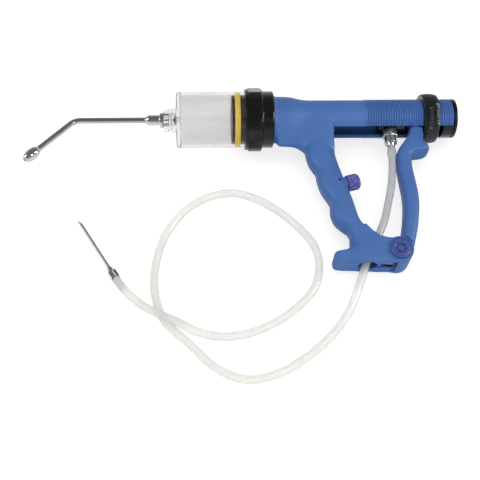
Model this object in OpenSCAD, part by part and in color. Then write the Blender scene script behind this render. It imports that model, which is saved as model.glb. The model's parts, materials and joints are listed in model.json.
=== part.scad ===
// Livestock drencher: a pistol-grip dosing gun with a hooked nozzle, a feed hose and a bottle needle.
// The gun is drawn in its own plane: X runs back along the tube, Y up through the tube's top and
// Z out of its side. lay() then sets it down on its side, on the surface that it rests on.

/* [Tube and body] */
// Outer radius of the slotted tube, at the thread's root
tube_r = 15; // [14:0.5:16]
// Radius of the bore that the crosshead slides in
tube_bore_r = 12.4; // [11.6:0.2:12.8]
// Radius of the collar behind the barrel nut
collar_r = 18; // [17:0.5:19]
// Length of the collar
collar_len = 11.5; // [9:0.5:14]
// Length of the taper from the collar down to the tube
taper_len = 11.5; // [8:0.5:14]
// Width of the underside slot
slot_w = 16; // [15.4:0.2:17]
// Distance from the front face to the first thread ridge
thread_start = 71.5; // [66:0.5:80]
// Pitch of the dose thread
thread_pitch = 2; // [1.5:0.25:3]
// Height of a thread ridge
thread_h = 0.6; // [0.4:0.1:0.9]
// Radius of the spigot that carries the barrel nut
spigot_r = 19.4; // [19:0.1:20]
// Length of the spigot in front of the body
spigot_len = 11.5; // [10:0.5:12]

/* [Barrel] */
// Outer radius of the clear barrel
barrel_r = 22; // [21.5:0.25:22.5]
// Thickness of the barrel's wall
barrel_wall = 2.25; // [2:0.25:2.5]
// Length of the barrel without its nose
barrel_len = 65.2; // [64:0.2:70]
// Thickness of the barrel's front plate
front_plate = 3; // [2.5:0.25:3.5]
// Radius of the barrel's nose
nose_r = 9.6; // [9:0.2:11]
// Length of the nose
nose_len = 10; // [9:0.5:12]
// Radius of the bore in the nose
nose_bore_r = 5; // [4.6:0.1:5.4]
// Thickness of the gasket behind the barrel
gasket_t = 1; // [0.8:0.1:1.4]

/* [Barrel nut] */
// Width of the nut across its six flats
nut_af = 47.6; // [47:0.2:49]
// Radius of the nut's rounded corners
nut_corner_r = 25.3; // [25:0.1:26]
// Radius of the lip in front of the flats
nut_lip_r = 24.2; // [23.6:0.1:24.8]
// Radius of the nut's rear collar
nut_collar_r = 22.4; // [22:0.1:23]
// Length of the lip
nut_lip_len = 2.6; // [2:0.2:3.4]
// Length of the flats
nut_hex_len = 10.8; // [9:0.2:12]
// Length of the rear collar
nut_collar_len = 9.2; // [8.8:0.2:10]

/* [Nozzle] */
// Radius of the nozzle tube
nozzle_r = 2.3; // [2:0.1:2.7]
// Radius of the nozzle tube's bore
nozzle_bore_r = 1.4; // [1.1:0.1:1.6]
// Distance from the hub's flange to the corner of the hook
nozzle_reach = 69.5; // [60:0.5:80]
// Distance from the corner of the hook to the middle of the olive
nozzle_drop = 44; // [36:0.5:52]
// Angle of the hook
nozzle_angle = 45; // [30:1:55]
// Bend radius of the hook
bend_r = 12; // [9:0.5:15]
// Radius of the hub
hub_r = 4.2; // [4:0.1:4.6]
// Length of the hub's round part
hub_len = 8.8; // [7:0.2:10]
// Radius of the hub's flange
hub_flange_r = 6; // [5.8:0.1:7]
// Thickness of the hub's flange
hub_flange_t = 2.6; // [2:0.1:3.2]
// Largest radius of the olive on the tip
olive_r = 4.6; // [4:0.1:5.2]
// Length of the olive
olive_len = 15; // [13:0.5:17]

/* [Plunger] */
// Distance from the body's front face forward to the piston's face
piston_ahead = 34; // [33:0.5:35]
// Length of the piston
piston_len = 12; // [11:0.5:14]
// Radius of the round section of the piston ring
ring_section_r = 2; // [1.8:0.1:2.2]
// Radius of the hollow piston rod
rod_r = 5; // [4.6:0.1:5.4]
// Radius of the rod's bore
rod_bore_r = 2; // [1.6:0.1:2.4]
// Distance back to the drive pin's centre with the lever at rest
pin_x = 110.5; // [109:0.5:111]
// Distance of the drive pin's centre below the tube's axis at rest
pin_low = 2; // [1.6:0.2:2.6]
// Radius of the drive pin
pin_r = 2; // [1.8:0.1:2.3]
// Distance back to the inlet fitting
fitting_x = 91.5; // [90.5:0.5:92.5]
// Width of the inlet fitting across its flats
fitting_af = 11; // [10:0.5:12]

/* [Grip and base] */
// Width of the grip, side to side
grip_w = 20; // [18:0.5:22]
// Width of the base, side to side
base_w = 21; // [20.5:0.5:23]
// Width of the channel between the base's cheeks
channel_w = 14.6; // [14:0.2:15]
// Distance back to the lever's pivot
pivot_x = 85; // [84:0.5:86]
// Distance of the pivot below the tube's axis
pivot_drop = 122; // [120:0.5:126]
// Radius of the base's round end
boss_r = 10; // [9.6:0.2:11]

/* [Lever and pivot] */
// Width of the lever, side to side
lever_w = 16.6; // [16:0.2:18]
// Angle that the lever swings when it is squeezed
squeeze_angle = 17.5; // [14:0.5:17.5]
// Radius of the lever's hub
lever_hub_r = 9; // [8:0.2:9.4]
// Radius of the pivot bolt
bolt_r = 3.5; // [3:0.1:4]
// Radius of the pivot bolt's head and of its cap
bolt_head_r = 8.2; // [7.4:0.2:9]
// Thickness of the head and of the cap
bolt_head_t = 1.6; // [1.4:0.1:2]
// Diameter of the return spring's wire
wire_d = 1.6; // [1.4:0.1:1.7]
// Mean radius of the return spring's coil
coil_r = 8.6; // [8.2:0.1:8.8]
// Distance from one turn of the coil to the next
coil_pitch = 2.1; // [2.1:0.05:2.2]

/* [Dose nut and end cap] */
// Distance from the front face to the dose nut's front
dose_x = 117.2; // [117:0.2:118]
// Length of the dose nut
dose_len = 12.4; // [11.4:0.2:13]
// Thickness of the dose nut's ring
dose_wall = 4.15; // [3.35:0.1:5.35]
// Radius of the dose nut's rounded corners
dose_round = 2.8; // [2:0.2:3.4]
// Length that the dose nut can travel back
dose_travel = 11.6; // [6:0.4:12]
// Thickness of the end cap's rim
cap_t = 2.6; // [2:0.2:3.4]

/* [Stop knob] */
// Distance below the tube's axis at which the knob's axis leaves the grip
knob_low = 61; // [58:0.5:64]
// Upward angle of the knob's axis
knob_angle = 14.5; // [12:0.5:17]
// Radius of the knob
knob_r = 6.4; // [5.8:0.1:7]
// Length of the knob
knob_len = 10.5; // [9:0.5:12]
// Radius of the knob's screw
knob_screw_r = 3; // [2.6:0.1:3.4]
// Length that the knob can be screwed out
knob_travel = 8; // [4:0.5:8]

/* [Hose and needle] */
// Outer diameter of the feed hose
hose_d = 6; // [5:0.2:6.2]
// Radius of the needle
needle_r = 0.9; // [0.7:0.05:1.2]
// Length of the needle outside its hub
needle_len = 50; // [38:1:60]
// Radius of the needle hub's knurled collar
collar_knurl_r = 3.9; // [3.6:0.1:4.2]

/* [Hidden] */
$fn = 64;

// Colours
blue = [0.27, 0.43, 0.69];
purple = [0.33, 0.29, 0.65];
black = [0.1, 0.105, 0.105];
clear = [0.88, 0.88, 0.89, 0.6];
steel = [0.75, 0.76, 0.78];
amber = [0.25, 0.15, 0.06];
yellow = [0.8, 0.72, 0.28];
ivory = [0.9, 0.9, 0.87];

// Clearances, and the overrun of a cut past the face it opens
overrun = 1;
fit_gap = 0.05;
run_gap = 0.3;
side_gap = 0.4;

// Tube: long enough for the dose nut at the end of its travel
dose_bore_r = tube_r + thread_h + fit_gap;
dose_r = dose_bore_r + dose_wall;
dose_room = 0.8;
tube_len = dose_x + dose_len + dose_travel + dose_room;

// Barrel and nut, along the tube's axis
barrel_bore_r = barrel_r - barrel_wall;
barrel_back_x = -spigot_len - gasket_t;
barrel_front_x = barrel_back_x - barrel_len;
nose_front_x = barrel_front_x - nose_len;
nut_clear = 1.2;
nut_back_x = -nut_clear;
nut_hex_x = nut_back_x - nut_collar_len - nut_hex_len;
nut_front_x = nut_hex_x - nut_lip_len;
nut_turn = -12.7;
nose_ring_len = 4;
nose_groove_x = nose_front_x + nose_ring_len;
nose_groove_len = 2;
nose_groove_t = 1.2;
nut_edge = 1.2;
spigot_wall = 4.5;

// Outlet valve in the barrel's nose
outlet_port_r = 2;
outlet_lift = 1.2;
valve_r = 3.6;
valve_t = 1.2;
valve_stem_r = 1.2;
hub_spigot_len = 4;

// Nozzle, in front of the nose
seal_t = 0.5;
hub_back_x = nose_front_x - seal_t;
hub_front_x = hub_back_x - hub_flange_t - hub_len;
hub_cone_len = 2.8;
tube_socket = 6;
hook_x = hub_back_x - nozzle_reach;
hook_tangent = bend_r * tan(nozzle_angle / 2);
tip_x = hook_x - (nozzle_drop + olive_len / 2) * cos(nozzle_angle);

// Plunger
piston_front_x = -piston_ahead;
piston_back_x = piston_front_x + piston_len;
piston_r = barrel_bore_r - run_gap;
ring_inset = 4.4;
ring_x = piston_front_x + ring_inset;
ring_mid_r = barrel_bore_r - fit_gap - ring_section_r;
cage_t = 1.5;
rod_inset = 6.6;
rod_front_x = piston_front_x + rod_inset;
bush_x = 2;
bush_len = 8;
bush_r = 8;
crosshead_r = tube_bore_r - run_gap;
crosshead_floor = 8.4;
crosshead_ahead = 7.5;
crosshead_behind = 8.5;
rod_short = 3.5;
crosshead_front_x = fitting_x - crosshead_ahead;
crosshead_back_x = pin_x + crosshead_behind;
rod_back_x = fitting_x - rod_short;
tongue_w = 7.6;
tongue_r = 4.2;
tongue_room = 6;
pin_len = 17;

// Lever
lever_arm = norm([pin_x - pivot_x, pivot_drop - pin_low]);
pin_rise = lever_arm - (pivot_drop - pin_low);
lever_lean = atan2(pin_x - pivot_x, pivot_drop - pin_low);
stroke = lever_arm * (sin(lever_lean) - sin(lever_lean - squeeze_angle));
slot_room = 1.4;
slot_start = fitting_x - fitting_af / sqrt(3) - stroke - slot_room;
neck_r = pivot_drop - crosshead_floor - side_gap;
neck_w = slot_w - 4 * side_gap;
hub_w = channel_w - 2 * side_gap;
cheek_room = 2.6;
relief_h = 4;

// Return spring: a leg on the base's web, a coil about the bolt, and a leg inside the lever
wire_r = wire_d / 2;
web_ahead = 18.5;
web_x = pivot_x - web_ahead;
web_len = 5;
web_t = 2.6;
web_lift = 1;
web_top = pivot_drop + boss_r - web_lift - web_t;
leg_start = [web_x + web_len / 2, -web_top + wire_r + fit_gap];
leg_reach = norm(leg_start - [pivot_x, -pivot_drop]);
leg_bearing = atan2(leg_start.y + pivot_drop, leg_start.x - pivot_x) + 360;
coil_from = leg_bearing + acos(coil_r / leg_reach);
coil_wraps = 4;
leg_tilt = 5;
coil_to = 360 * coil_wraps - leg_tilt;
coil_turns = (coil_to - coil_from) / 360;
coil_half = coil_turns * coil_pitch / 2;
coil_steps = 8;
lever_leg = 16;
pocket_w = 2 * coil_half + wire_d + 2 * run_gap;
pocket_r = coil_r + wire_r + 2 * side_gap;

// Fitting, below the crosshead
washer_t = 0.5;
fitting_hex_len = 9;
fitting_neck_r = 4.8;
fitting_neck_len = 6.6;
fitting_barb_r = 3.4;
fitting_barb_len = 2.4;
fitting_bore_r = 1.5;
fitting_stud_r = 3.4;
fitting_stud_len = 5;
fitting_low = crosshead_floor + washer_t + fitting_hex_len + fitting_neck_len + fitting_barb_len;

// Stop knob, in a frame whose X leaves the grip along the knob's axis
knob_gap = 1.6;
knob_hold = 6;
knob_screw_len = knob_travel + knob_hold;
stop_pin_len = 5;
knob_dome = 1.6;
stop_pin_r = 0.9;
stop_pin_back = 5;

// Resting: the gun leans on a corner of the barrel nut, the dose nut and the pivot cap
rest_nut_x = nut_back_x - nut_collar_len;
rest_dose_x = dose_x + dose_len - dose_round;
rest_half = base_w / 2 + bolt_head_t;
rest_b = (nut_corner_r - dose_r) / (rest_dose_x - rest_nut_x);
rest_rise = nut_corner_r + rest_b * (rest_nut_x - pivot_x) - rest_half;
rest_c0 = -rest_rise / pivot_drop;
rest_c = -(rest_rise - bolt_head_r * norm([rest_b, rest_c0])) / pivot_drop;
rest_n = norm([1, rest_b, rest_c]);
rest_roll = atan(-rest_c);
rest_pitch = asin(rest_b / rest_n);
rest_lift = (nut_corner_r * norm([1, rest_c]) + rest_b * rest_nut_x) / rest_n;
mid_x = (tip_x + tube_len + cap_t) / 2;
mid_y = (nut_corner_r - pivot_drop - boss_r) / 2;

// Grip: each row is a level, its front edge, its rear edge and its width, as shares of the pivot's
// drop, of its distance back twice, and of the grip's width
grip_shares = [
    [0.080, 0.030, 0.520, 0.90], [0.130, 0.024, 0.526, 0.93], [0.160, 0.032, 0.528, 0.96],
    [0.178, 0.076, 0.530, 0.98], [0.192, 0.138, 0.530, 1], [0.205, 0.190, 0.530, 1],
    [0.222, 0.228, 0.530, 1], [0.246, 0.256, 0.531, 1], [0.287, 0.271, 0.535, 1],
    [0.344, 0.290, 0.549, 1], [0.385, 0.321, 0.562, 1], [0.416, 0.346, 0.572, 1],
    [0.451, 0.350, 0.585, 1], [0.495, 0.360, 0.600, 1], [0.547, 0.381, 0.620, 1],
    [0.596, 0.418, 0.640, 1], [0.634, 0.446, 0.653, 1], [0.658, 0.450, 0.660, 1],
    [0.700, 0.446, 0.673, 1], [0.741, 0.456, 0.684, 1], [0.776, 0.481, 0.698, 1],
    [0.806, 0.526, 0.718, 1], [0.829, 0.568, 0.742, 1], [0.856, 0.590, 0.778, 1],
    [0.881, 0.597, 0.822, 1], [0.910, 0.592, 0.890, 1]
];
// Base: its outline from the toe round to the grip, as shares of the pivot's distance and drop
base_shares = [
    [0.592, 0.900], [0.590, 0.930], [0.578, 0.958], [0.555, 0.983], [0.522, 1.002],
    [0.480, 1.013], [0.452, 1.018], [0.438, 1.029], [0.438, 1.044], [0.450, 1.057],
    [0.478, 1.062]
];
base_top_shares = [
    [0.940, 0.922], [0.900, 0.918], [0.860, 0.909], [0.825, 0.895], [0.790, 0.874],
    [0.758, 0.850], [0.730, 0.823], [0.640, 0.815], [0.600, 0.850]
];
// Channel between the cheeks: the hose side from the top down, as shares of the same two
channel_shares = [[0.835, 0.800], [0.605, 1.120]];
channel_back = 14;
// Lever: a level, its front edge, its rear edge and its width, as shares in the same way
lever_shares = [
    [0.060, 1.262, 1.380, 0.86], [0.131, 1.230, 1.380, 0.86], [0.164, 1.210, 1.378, 0.92],
    [0.193, 1.190, 1.366, 0.97], [0.213, 1.175, 1.378, 1], [0.230, 1.161, 1.402, 1],
    [0.248, 1.146, 1.412, 1], [0.266, 1.132, 1.404, 1], [0.280, 1.124, 1.376, 1],
    [0.290, 1.119, 1.330, 1], [0.298, 1.116, 1.272, 1], [0.310, 1.112, 1.244, 1],
    [0.350, 1.102, 1.238, 1],
    [0.410, 1.099, 1.236, 1], [0.490, 1.104, 1.245, 1], [0.574, 1.110, 1.253, 1],
    [0.656, 1.106, 1.250, 1], [0.738, 1.091, 1.232, 1], [0.811, 1.070, 1.211, 1],
    [0.861, 1.052, 1.192, 1], [0.902, 1.034, 1.173, 1], [0.959, 0.996, 1.148, 1],
    [1.000, 0.960, 1.118, 1]
];
section_power = 2.8;
section_sides = 24;
knob_face_x = pivot_x * lookup(knob_low / pivot_drop, [for (row = grip_shares) [row[0], row[2]]]);

// Feed hose: its route from the fitting through the base, and on over the surface to the needle
upper_route = [
    [116.1, 26.2, 19.4], [115.2, 12, 18.5], [113, -3, 17.9], [110.5, -14, 17.4], [107.5, -27, 16.6],
    [103.5, -39.5, 15.9], [98, -50, 15], [92, -61.5, 13.5], [86, -73, 11.5]
];
loop_route = [
    [85.8, -73.4, 11.4], [79.5, -89, 7.4], [70, -109, 4.2], [56, -127, 3.1], [37, -143, 3.1],
    [16, -154.5, 3.1], [-6, -158, 3.1], [-27, -148.5, 3.1], [-44, -131, 3.1], [-57, -118, 3.1],
    [-65, -107, 3.1], [-70, -89, 3.1], [-70.5, -70, 3.1], [-67, -51, 3.1], [-60, -33, 3.1],
    [-47, -16, 3.1], [-30, -5, 3.1], [-11, -1.5, 3.1], [6, -7, 3.1], [24, -19.5, 3.1],
    [39.5, -36, 3.1], [49.5, -52, 3.1], [52, -70, 3.1], [47, -88, 3.1], [34, -103, 3.1],
    [16, -115.5, 3.1], [-3, -123, 3.1], [-22, -125, 3.4], [-40, -121.5, 6], [-52, -115.5, 8.6],
    [-65, -109, 9.4], [-78, -100.5, 7.4], [-88, -90, 4.6], [-96, -80, 4]
];
hose_sides = 10;
hose_steps = 2;
hose_facet = cos(180 / hose_sides);

// Needle: it lies in line with the end of the hose
needle_at = [-96.3, -79.5, 4];
needle_bearing = 120.5;
needle_barb_len = 5;
needle_barb_r = 2.5;
needle_collar_len = 7;
needle_cone_len = 4;
needle_cone_r = 1.6;
needle_bore_r = 0.5;
needle_shank_r = 0.65;
needle_shank_len = 0.5;

// Sets the gun down on its side
module lay() {
    translate([-mid_x, -mid_y, rest_lift]) rotate([rest_roll, rest_pitch, 0]) children();
}

// Turns a shape that stands along Z to run back along X, from x
module along_x(x) {
    translate([x, 0, 0]) rotate([0, 90, 0]) children();
}

// Turns a shape that stands along Z to hang down along -Y, from y at x
module hang(x, y) {
    translate([x, y, 0]) rotate([90, 0, 0]) children();
}

// A plain round bar along X
module bar(x, len, r) {
    along_x(x) cylinder(h = len, r = r);
}

// A tube along X
module sleeve(x, len, r_out, r_in) {
    difference() {
        bar(x, len, r_out);
        bar(x - overrun, len + 2 * overrun, r_in);
    }
}

// Faces that skin a stack of rings, in triangles, with a flat cap at each end
function skin_faces(rings, sides) = concat(
    [[for (k = [0:sides - 1]) k]],
    [for (i = [0:rings - 2], k = [0:sides - 1])
        [i * sides + k, (i + 1) * sides + k, (i + 1) * sides + (k + 1) % sides]],
    [for (i = [0:rings - 2], k = [0:sides - 1])
        [i * sides + k, (i + 1) * sides + (k + 1) % sides, i * sides + (k + 1) % sides]],
    [[for (k = [sides - 1:-1:0]) (rings - 1) * sides + k]]
);

// One level of a rounded handle: a squared-off oval between a front and a rear edge
function signed_pow(v, p) = sign(v) * pow(abs(v), p);
function handle_ring(row, width) = [
    for (k = [0:section_sides - 1])
        let (a = 360 * k / section_sides)
        let (mid = pivot_x * (row[1] + row[2]) / 2)
        let (half = pivot_x * (row[2] - row[1]) / 2)
        [
            mid + half * signed_pow(cos(a), 2 / section_power),
            -row[0] * pivot_drop,
            width / 2 * row[3] * signed_pow(sin(a), 2 / section_power)
        ]
];

module handle(shares, width) {
    polyhedron(
        points = [for (row = shares) each handle_ring(row, width)],
        faces = skin_faces(len(shares), section_sides)
    );
}

// A route filled in with a smooth curve through its points
function route_end(route, i) = route[max(0, min(len(route) - 1, i))];
function route_point(route, i, t) =
    let (a = route_end(route, i - 1))
    let (b = route[i])
    let (c = route_end(route, i + 1))
    let (d = route_end(route, i + 2))
    b + t / 2 * (c - a) + t * t * (a - 2.5 * b + 2 * c - d / 2)
    + t * t * t * (1.5 * (b - c) + (d - a) / 2);
function smooth_route(route, steps) = [
    for (i = [0:len(route) - 2], s = [0:steps - 1]) route_point(route, i, s / steps),
    route[len(route) - 1]
];

// A round tube swept along points that never run straight up
function unit(v) = v / norm(v);
function heading(path, i) = unit(route_end(path, i + 1) - route_end(path, i - 1));
function tube_ring(path, i, r, sides) =
    let (t = heading(path, i))
    let (side = unit(cross(t, [0, 0, 1])))
    let (up = cross(side, t))
    [for (k = [0:sides - 1])
        path[i] + r * (cos(360 * k / sides) * side + sin(360 * k / sides) * up)];

module swept_tube(path, r, sides) {
    polyhedron(
        points = [for (i = [0:len(path) - 1]) each tube_ring(path, i, r, sides)],
        faces = skin_faces(len(path), sides)
    );
}

// Tube, collar and spigot in one turned profile, with the dose thread as a row of ridges
thread_count = floor((tube_len - thread_start) / thread_pitch);
module turned_body() {
    along_x(0) rotate_extrude() polygon(concat(
        [[0, -spigot_len], [spigot_r, -spigot_len], [spigot_r, 0], [collar_r, 0], [collar_r, collar_len]],
        [[tube_r, collar_len + taper_len]],
        [for (i = [0:thread_count - 1]) each [
            [tube_r, thread_start + i * thread_pitch],
            [tube_r + thread_h, thread_start + (i + 0.5) * thread_pitch]
        ]],
        [[tube_r, thread_start + thread_count * thread_pitch], [tube_r, tube_len], [0, tube_len]]
    ));
}

function spot(share) = [share.x * pivot_x, -share.y * pivot_drop];

// Base: a bar with a toe in front and a round end about the pivot
module base_bar() {
    linear_extrude(height = base_w, center = true) union() {
        polygon(concat(
            [for (s = base_shares) spot(s)],
            [[pivot_x, -pivot_drop - boss_r], [pivot_x, -pivot_drop + boss_r]],
            [for (s = base_top_shares) spot(s)]
        ));
        translate([pivot_x, -pivot_drop]) circle(r = boss_r);
    }
}

// Room between the cheeks for the lever's hub, the spring and the hose
module channel() {
    linear_extrude(height = channel_w, center = true) polygon(concat(
        [for (s = channel_shares) spot(s)],
        [[pivot_x + channel_back, channel_shares[1].y * -pivot_drop]],
        [[pivot_x + channel_back, channel_shares[0].y * -pivot_drop]]
    ));
}

// Moves a shape drawn along X onto the stop knob's axis
module on_knob_axis() {
    translate([knob_face_x, -knob_low, 0]) rotate([0, 0, knob_angle]) children();
}

module stop_pin_spot() {
    on_knob_axis() translate([-stop_pin_back, 0, 0]) children();
}

module gun_body() {
    color(blue) {
        difference() {
            union() {
                turned_body();
                handle(grip_shares, grip_w);
                base_bar();
            }
            bar(bush_x + bush_len, tube_len, tube_bore_r);
            bar(-spigot_len - overrun, spigot_len + bush_x + overrun, spigot_r - spigot_wall);
            bar(bush_x - overrun, bush_len + 2 * overrun, bush_r);
            translate([slot_start, -tube_r - thread_h - overrun, -slot_w / 2])
                cube([tube_len - slot_start + overrun, tube_r + thread_h + overrun, slot_w]);
            channel();
            translate([pivot_x, -pivot_drop, 0])
                cylinder(h = base_w + overrun, r = bolt_r + fit_gap, center = true);
            on_knob_axis()
                bar(-knob_screw_len - overrun, knob_screw_len + 2 * overrun, knob_screw_r + fit_gap);
            stop_pin_spot() cylinder(h = grip_w, r = stop_pin_r + fit_gap);
        }
        translate([web_x, -web_top - web_t, -channel_w / 2]) cube([web_len, web_t, channel_w]);
    }
}

module barrel() {
    color(clear) difference() {
        union() {
            bar(barrel_front_x, barrel_len, barrel_r);
            difference() {
                bar(nose_front_x, nose_len, nose_r);
                sleeve(nose_groove_x, nose_groove_len, nose_r + overrun, nose_r - nose_groove_t);
            }
        }
        bar(barrel_front_x + front_plate, barrel_len, barrel_bore_r);
        bar(nose_front_x - overrun, nose_len + overrun, nose_bore_r);
        bar(barrel_front_x - overrun, front_plate + 2 * overrun, outlet_port_r);
    }
}

module barrel_nut() {
    color(black) difference() {
        union() {
            bar(nut_front_x, nut_lip_len, nut_lip_r);
            intersection() {
                bar(nut_hex_x, nut_hex_len, nut_corner_r);
                along_x(nut_hex_x) rotate([0, 0, nut_turn])
                    cylinder(h = nut_hex_len, r = nut_af / sqrt(3), $fn = 6);
            }
            bar(nut_back_x - nut_collar_len, nut_collar_len - nut_edge, nut_collar_r);
            along_x(nut_back_x - nut_edge)
                cylinder(h = nut_edge, r1 = nut_collar_r, r2 = nut_collar_r - nut_edge);
        }
        bar(nut_front_x - overrun, -spigot_len - nut_front_x + overrun, barrel_r + fit_gap);
        bar(-spigot_len - overrun, spigot_len + overrun, spigot_r + fit_gap);
    }
}

module barrel_gasket() {
    color(black) sleeve(-spigot_len - gasket_t, gasket_t, barrel_r, barrel_bore_r + fit_gap);
}

module nozzle_seal() {
    color(black) sleeve(nose_front_x - seal_t, seal_t, hub_flange_r, nose_bore_r);
}

module nozzle_hub() {
    color(steel) difference() {
        union() {
            bar(hub_back_x - hub_flange_t, hub_flange_t, hub_flange_r);
            bar(hub_front_x, hub_len, hub_r);
            along_x(hub_front_x - hub_cone_len)
                cylinder(h = hub_cone_len, r1 = nozzle_r + run_gap, r2 = hub_r);
            bar(hub_back_x, seal_t + hub_spigot_len, nose_bore_r - fit_gap);
        }
        bar(hub_front_x, hub_len + hub_flange_t + seal_t + hub_spigot_len + overrun, nozzle_bore_r);
        bar(hub_front_x - hub_cone_len - overrun, hub_cone_len + tube_socket + overrun, nozzle_r + fit_gap);
    }
}

// The nozzle's run: straight out of the hub, round the hook and down to the olive. The bend is drawn
// a little thinner than the straight lengths, which reach a little way over it.
bend_thin = 0.02;
module nozzle_run(r, extra) {
    bend_x = hook_x + hook_tangent;
    bar(bend_x - fit_gap, hub_front_x + tube_socket - bend_x + fit_gap + extra, r);
    translate([bend_x, -bend_r, 0]) rotate([0, 0, 90])
        rotate_extrude(angle = nozzle_angle) translate([bend_r, 0]) circle(r = r - bend_thin);
    translate([hook_x, 0, 0]) rotate([0, 0, nozzle_angle])
        bar(-nozzle_drop - extra, nozzle_drop - hook_tangent + fit_gap + extra, r);
}

module nozzle_tube() {
    color(steel) difference() {
        nozzle_run(nozzle_r, 0);
        nozzle_run(nozzle_bore_r, overrun);
    }
}

// Olive: a fat oval of revolution, bored for the tube behind and for the outlet in front
olive_steps = 12;
olive_power = 0.8;
module nozzle_tip() {
    color(steel) translate([hook_x, 0, 0]) rotate([0, 0, nozzle_angle]) difference() {
        along_x(-nozzle_drop) rotate_extrude() polygon(concat(
            [[0, -olive_len / 2]],
            [for (i = [1:olive_steps - 1])
                let (a = 180 * i / olive_steps)
                [olive_r * pow(sin(a), olive_power), -olive_len / 2 * cos(a)]],
            [[0, olive_len / 2]]
        ));
        bar(-nozzle_drop, olive_len, nozzle_r + fit_gap);
        bar(-nozzle_drop - olive_len, olive_len + overrun, nozzle_bore_r);
    }
}

// Valves: a disc on its seat with a guide stem towards the flow
module valve(seat_x) {
    bar(seat_x - valve_t, valve_t, valve_r);
    bar(seat_x - valve_t - outlet_lift, outlet_lift, valve_stem_r);
}

module outlet_valve() {
    color(black) valve(barrel_front_x - fit_gap);
}

module piston() {
    color(amber) difference() {
        bar(piston_front_x, piston_len, piston_r);
        sleeve(ring_x - ring_section_r, 2 * ring_section_r, piston_r + overrun,
            ring_mid_r - ring_section_r);
        bar(piston_front_x - overrun, piston_len + 2 * overrun, rod_r + fit_gap);
    }
}

module piston_ring() {
    color(yellow) along_x(ring_x) rotate_extrude() translate([ring_mid_r, 0]) circle(r = ring_section_r);
}

module valve_cage() {
    color(black) difference() {
        bar(piston_front_x, cage_t, rod_r);
        bar(piston_front_x - overrun, cage_t + 2 * overrun, rod_bore_r);
    }
}

module inlet_valve() {
    color(black) valve(rod_front_x - fit_gap);
}

module piston_rod() {
    color(steel) sleeve(rod_front_x, rod_back_x - rod_front_x, rod_r, rod_bore_r);
}

module rod_bush() {
    color(black) sleeve(bush_x, bush_len, bush_r - fit_gap, rod_r + fit_gap);
}

// Crosshead: a shoe that slides in the tube, slotted for the lever's tongue and its pin
module crosshead() {
    color(black) difference() {
        bar(crosshead_front_x, crosshead_back_x - crosshead_front_x, crosshead_r);
        translate([crosshead_front_x - overrun, -crosshead_floor - crosshead_r, -crosshead_r])
            cube([crosshead_back_x - crosshead_front_x + 2 * overrun, crosshead_r, 2 * crosshead_r]);
        bar(crosshead_front_x - overrun, rod_back_x - crosshead_front_x + overrun, rod_r + fit_gap);
        bar(rod_back_x - overrun, fitting_x - rod_back_x + overrun, rod_bore_r);
        hang(fitting_x, 0) cylinder(h = crosshead_floor + overrun, r = rod_bore_r);
        hang(fitting_x, -crosshead_floor + fitting_stud_len)
            cylinder(h = fitting_stud_len + overrun, r = fitting_stud_r + fit_gap);
        translate([pin_x - tongue_room, -crosshead_r, -tongue_w / 2 - side_gap])
            cube([2 * tongue_room, crosshead_r + tongue_r + pin_rise + side_gap, tongue_w + 2 * side_gap]);
        pin_slot();
    }
}

// Upright slot for the drive pin, which rises and falls as the lever swings
module pin_slot() {
    for (y = [-pin_low, -pin_low + pin_rise])
        translate([pin_x, y, 0]) cylinder(h = 2 * crosshead_r, r = pin_r + side_gap, center = true);
    translate([pin_x - pin_r - side_gap, -pin_low, -crosshead_r])
        cube([2 * (pin_r + side_gap), pin_rise, 2 * crosshead_r]);
}

module fitting_washer() {
    color(black) hang(fitting_x, -crosshead_floor) difference() {
        cylinder(h = washer_t, r = fitting_neck_r);
        translate([0, 0, -overrun]) cylinder(h = washer_t + 2 * overrun, r = fitting_stud_r + fit_gap);
    }
}

module inlet_fitting() {
    color(steel) hang(fitting_x, -crosshead_floor - washer_t) difference() {
        union() {
            translate([0, 0, -fitting_stud_len - washer_t + run_gap])
                cylinder(h = fitting_stud_len + washer_t, r = fitting_stud_r);
            cylinder(h = fitting_hex_len, r = fitting_af / sqrt(3), $fn = 6);
            cylinder(h = fitting_hex_len + fitting_neck_len, r = fitting_neck_r);
            translate([0, 0, fitting_hex_len + fitting_neck_len])
                cylinder(h = fitting_barb_len, r1 = fitting_barb_r, r2 = hose_d / 2 * hose_facet);
        }
        translate([0, 0, -fitting_low]) cylinder(h = 2 * fitting_low, r = fitting_bore_r);
    }
}

// Moves a shape drawn upright about the origin onto the lever's pivot and lean
module on_lever() {
    translate([pivot_x, -pivot_drop, 0]) rotate([0, 0, -lever_lean]) children();
}

module lever() {
    color(blue) difference() {
        union() {
            intersection() {
                handle(lever_shares, lever_w);
                translate([pivot_x, -pivot_drop, 0]) cylinder(h = 2 * lever_w, r = neck_r, center = true);
            }
            on_lever() translate([-tongue_r, neck_r - 2 * tongue_r, -tongue_w / 2])
                cube([2 * tongue_r, lever_arm - neck_r + 2 * tongue_r, tongue_w]);
            on_lever() translate([0, lever_arm, 0]) cylinder(h = tongue_w, r = tongue_r, center = true);
            translate([pivot_x, -pivot_drop, 0]) cylinder(h = hub_w, r = lever_hub_r, center = true);
        }
        lever_cuts();
    }
}

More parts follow.
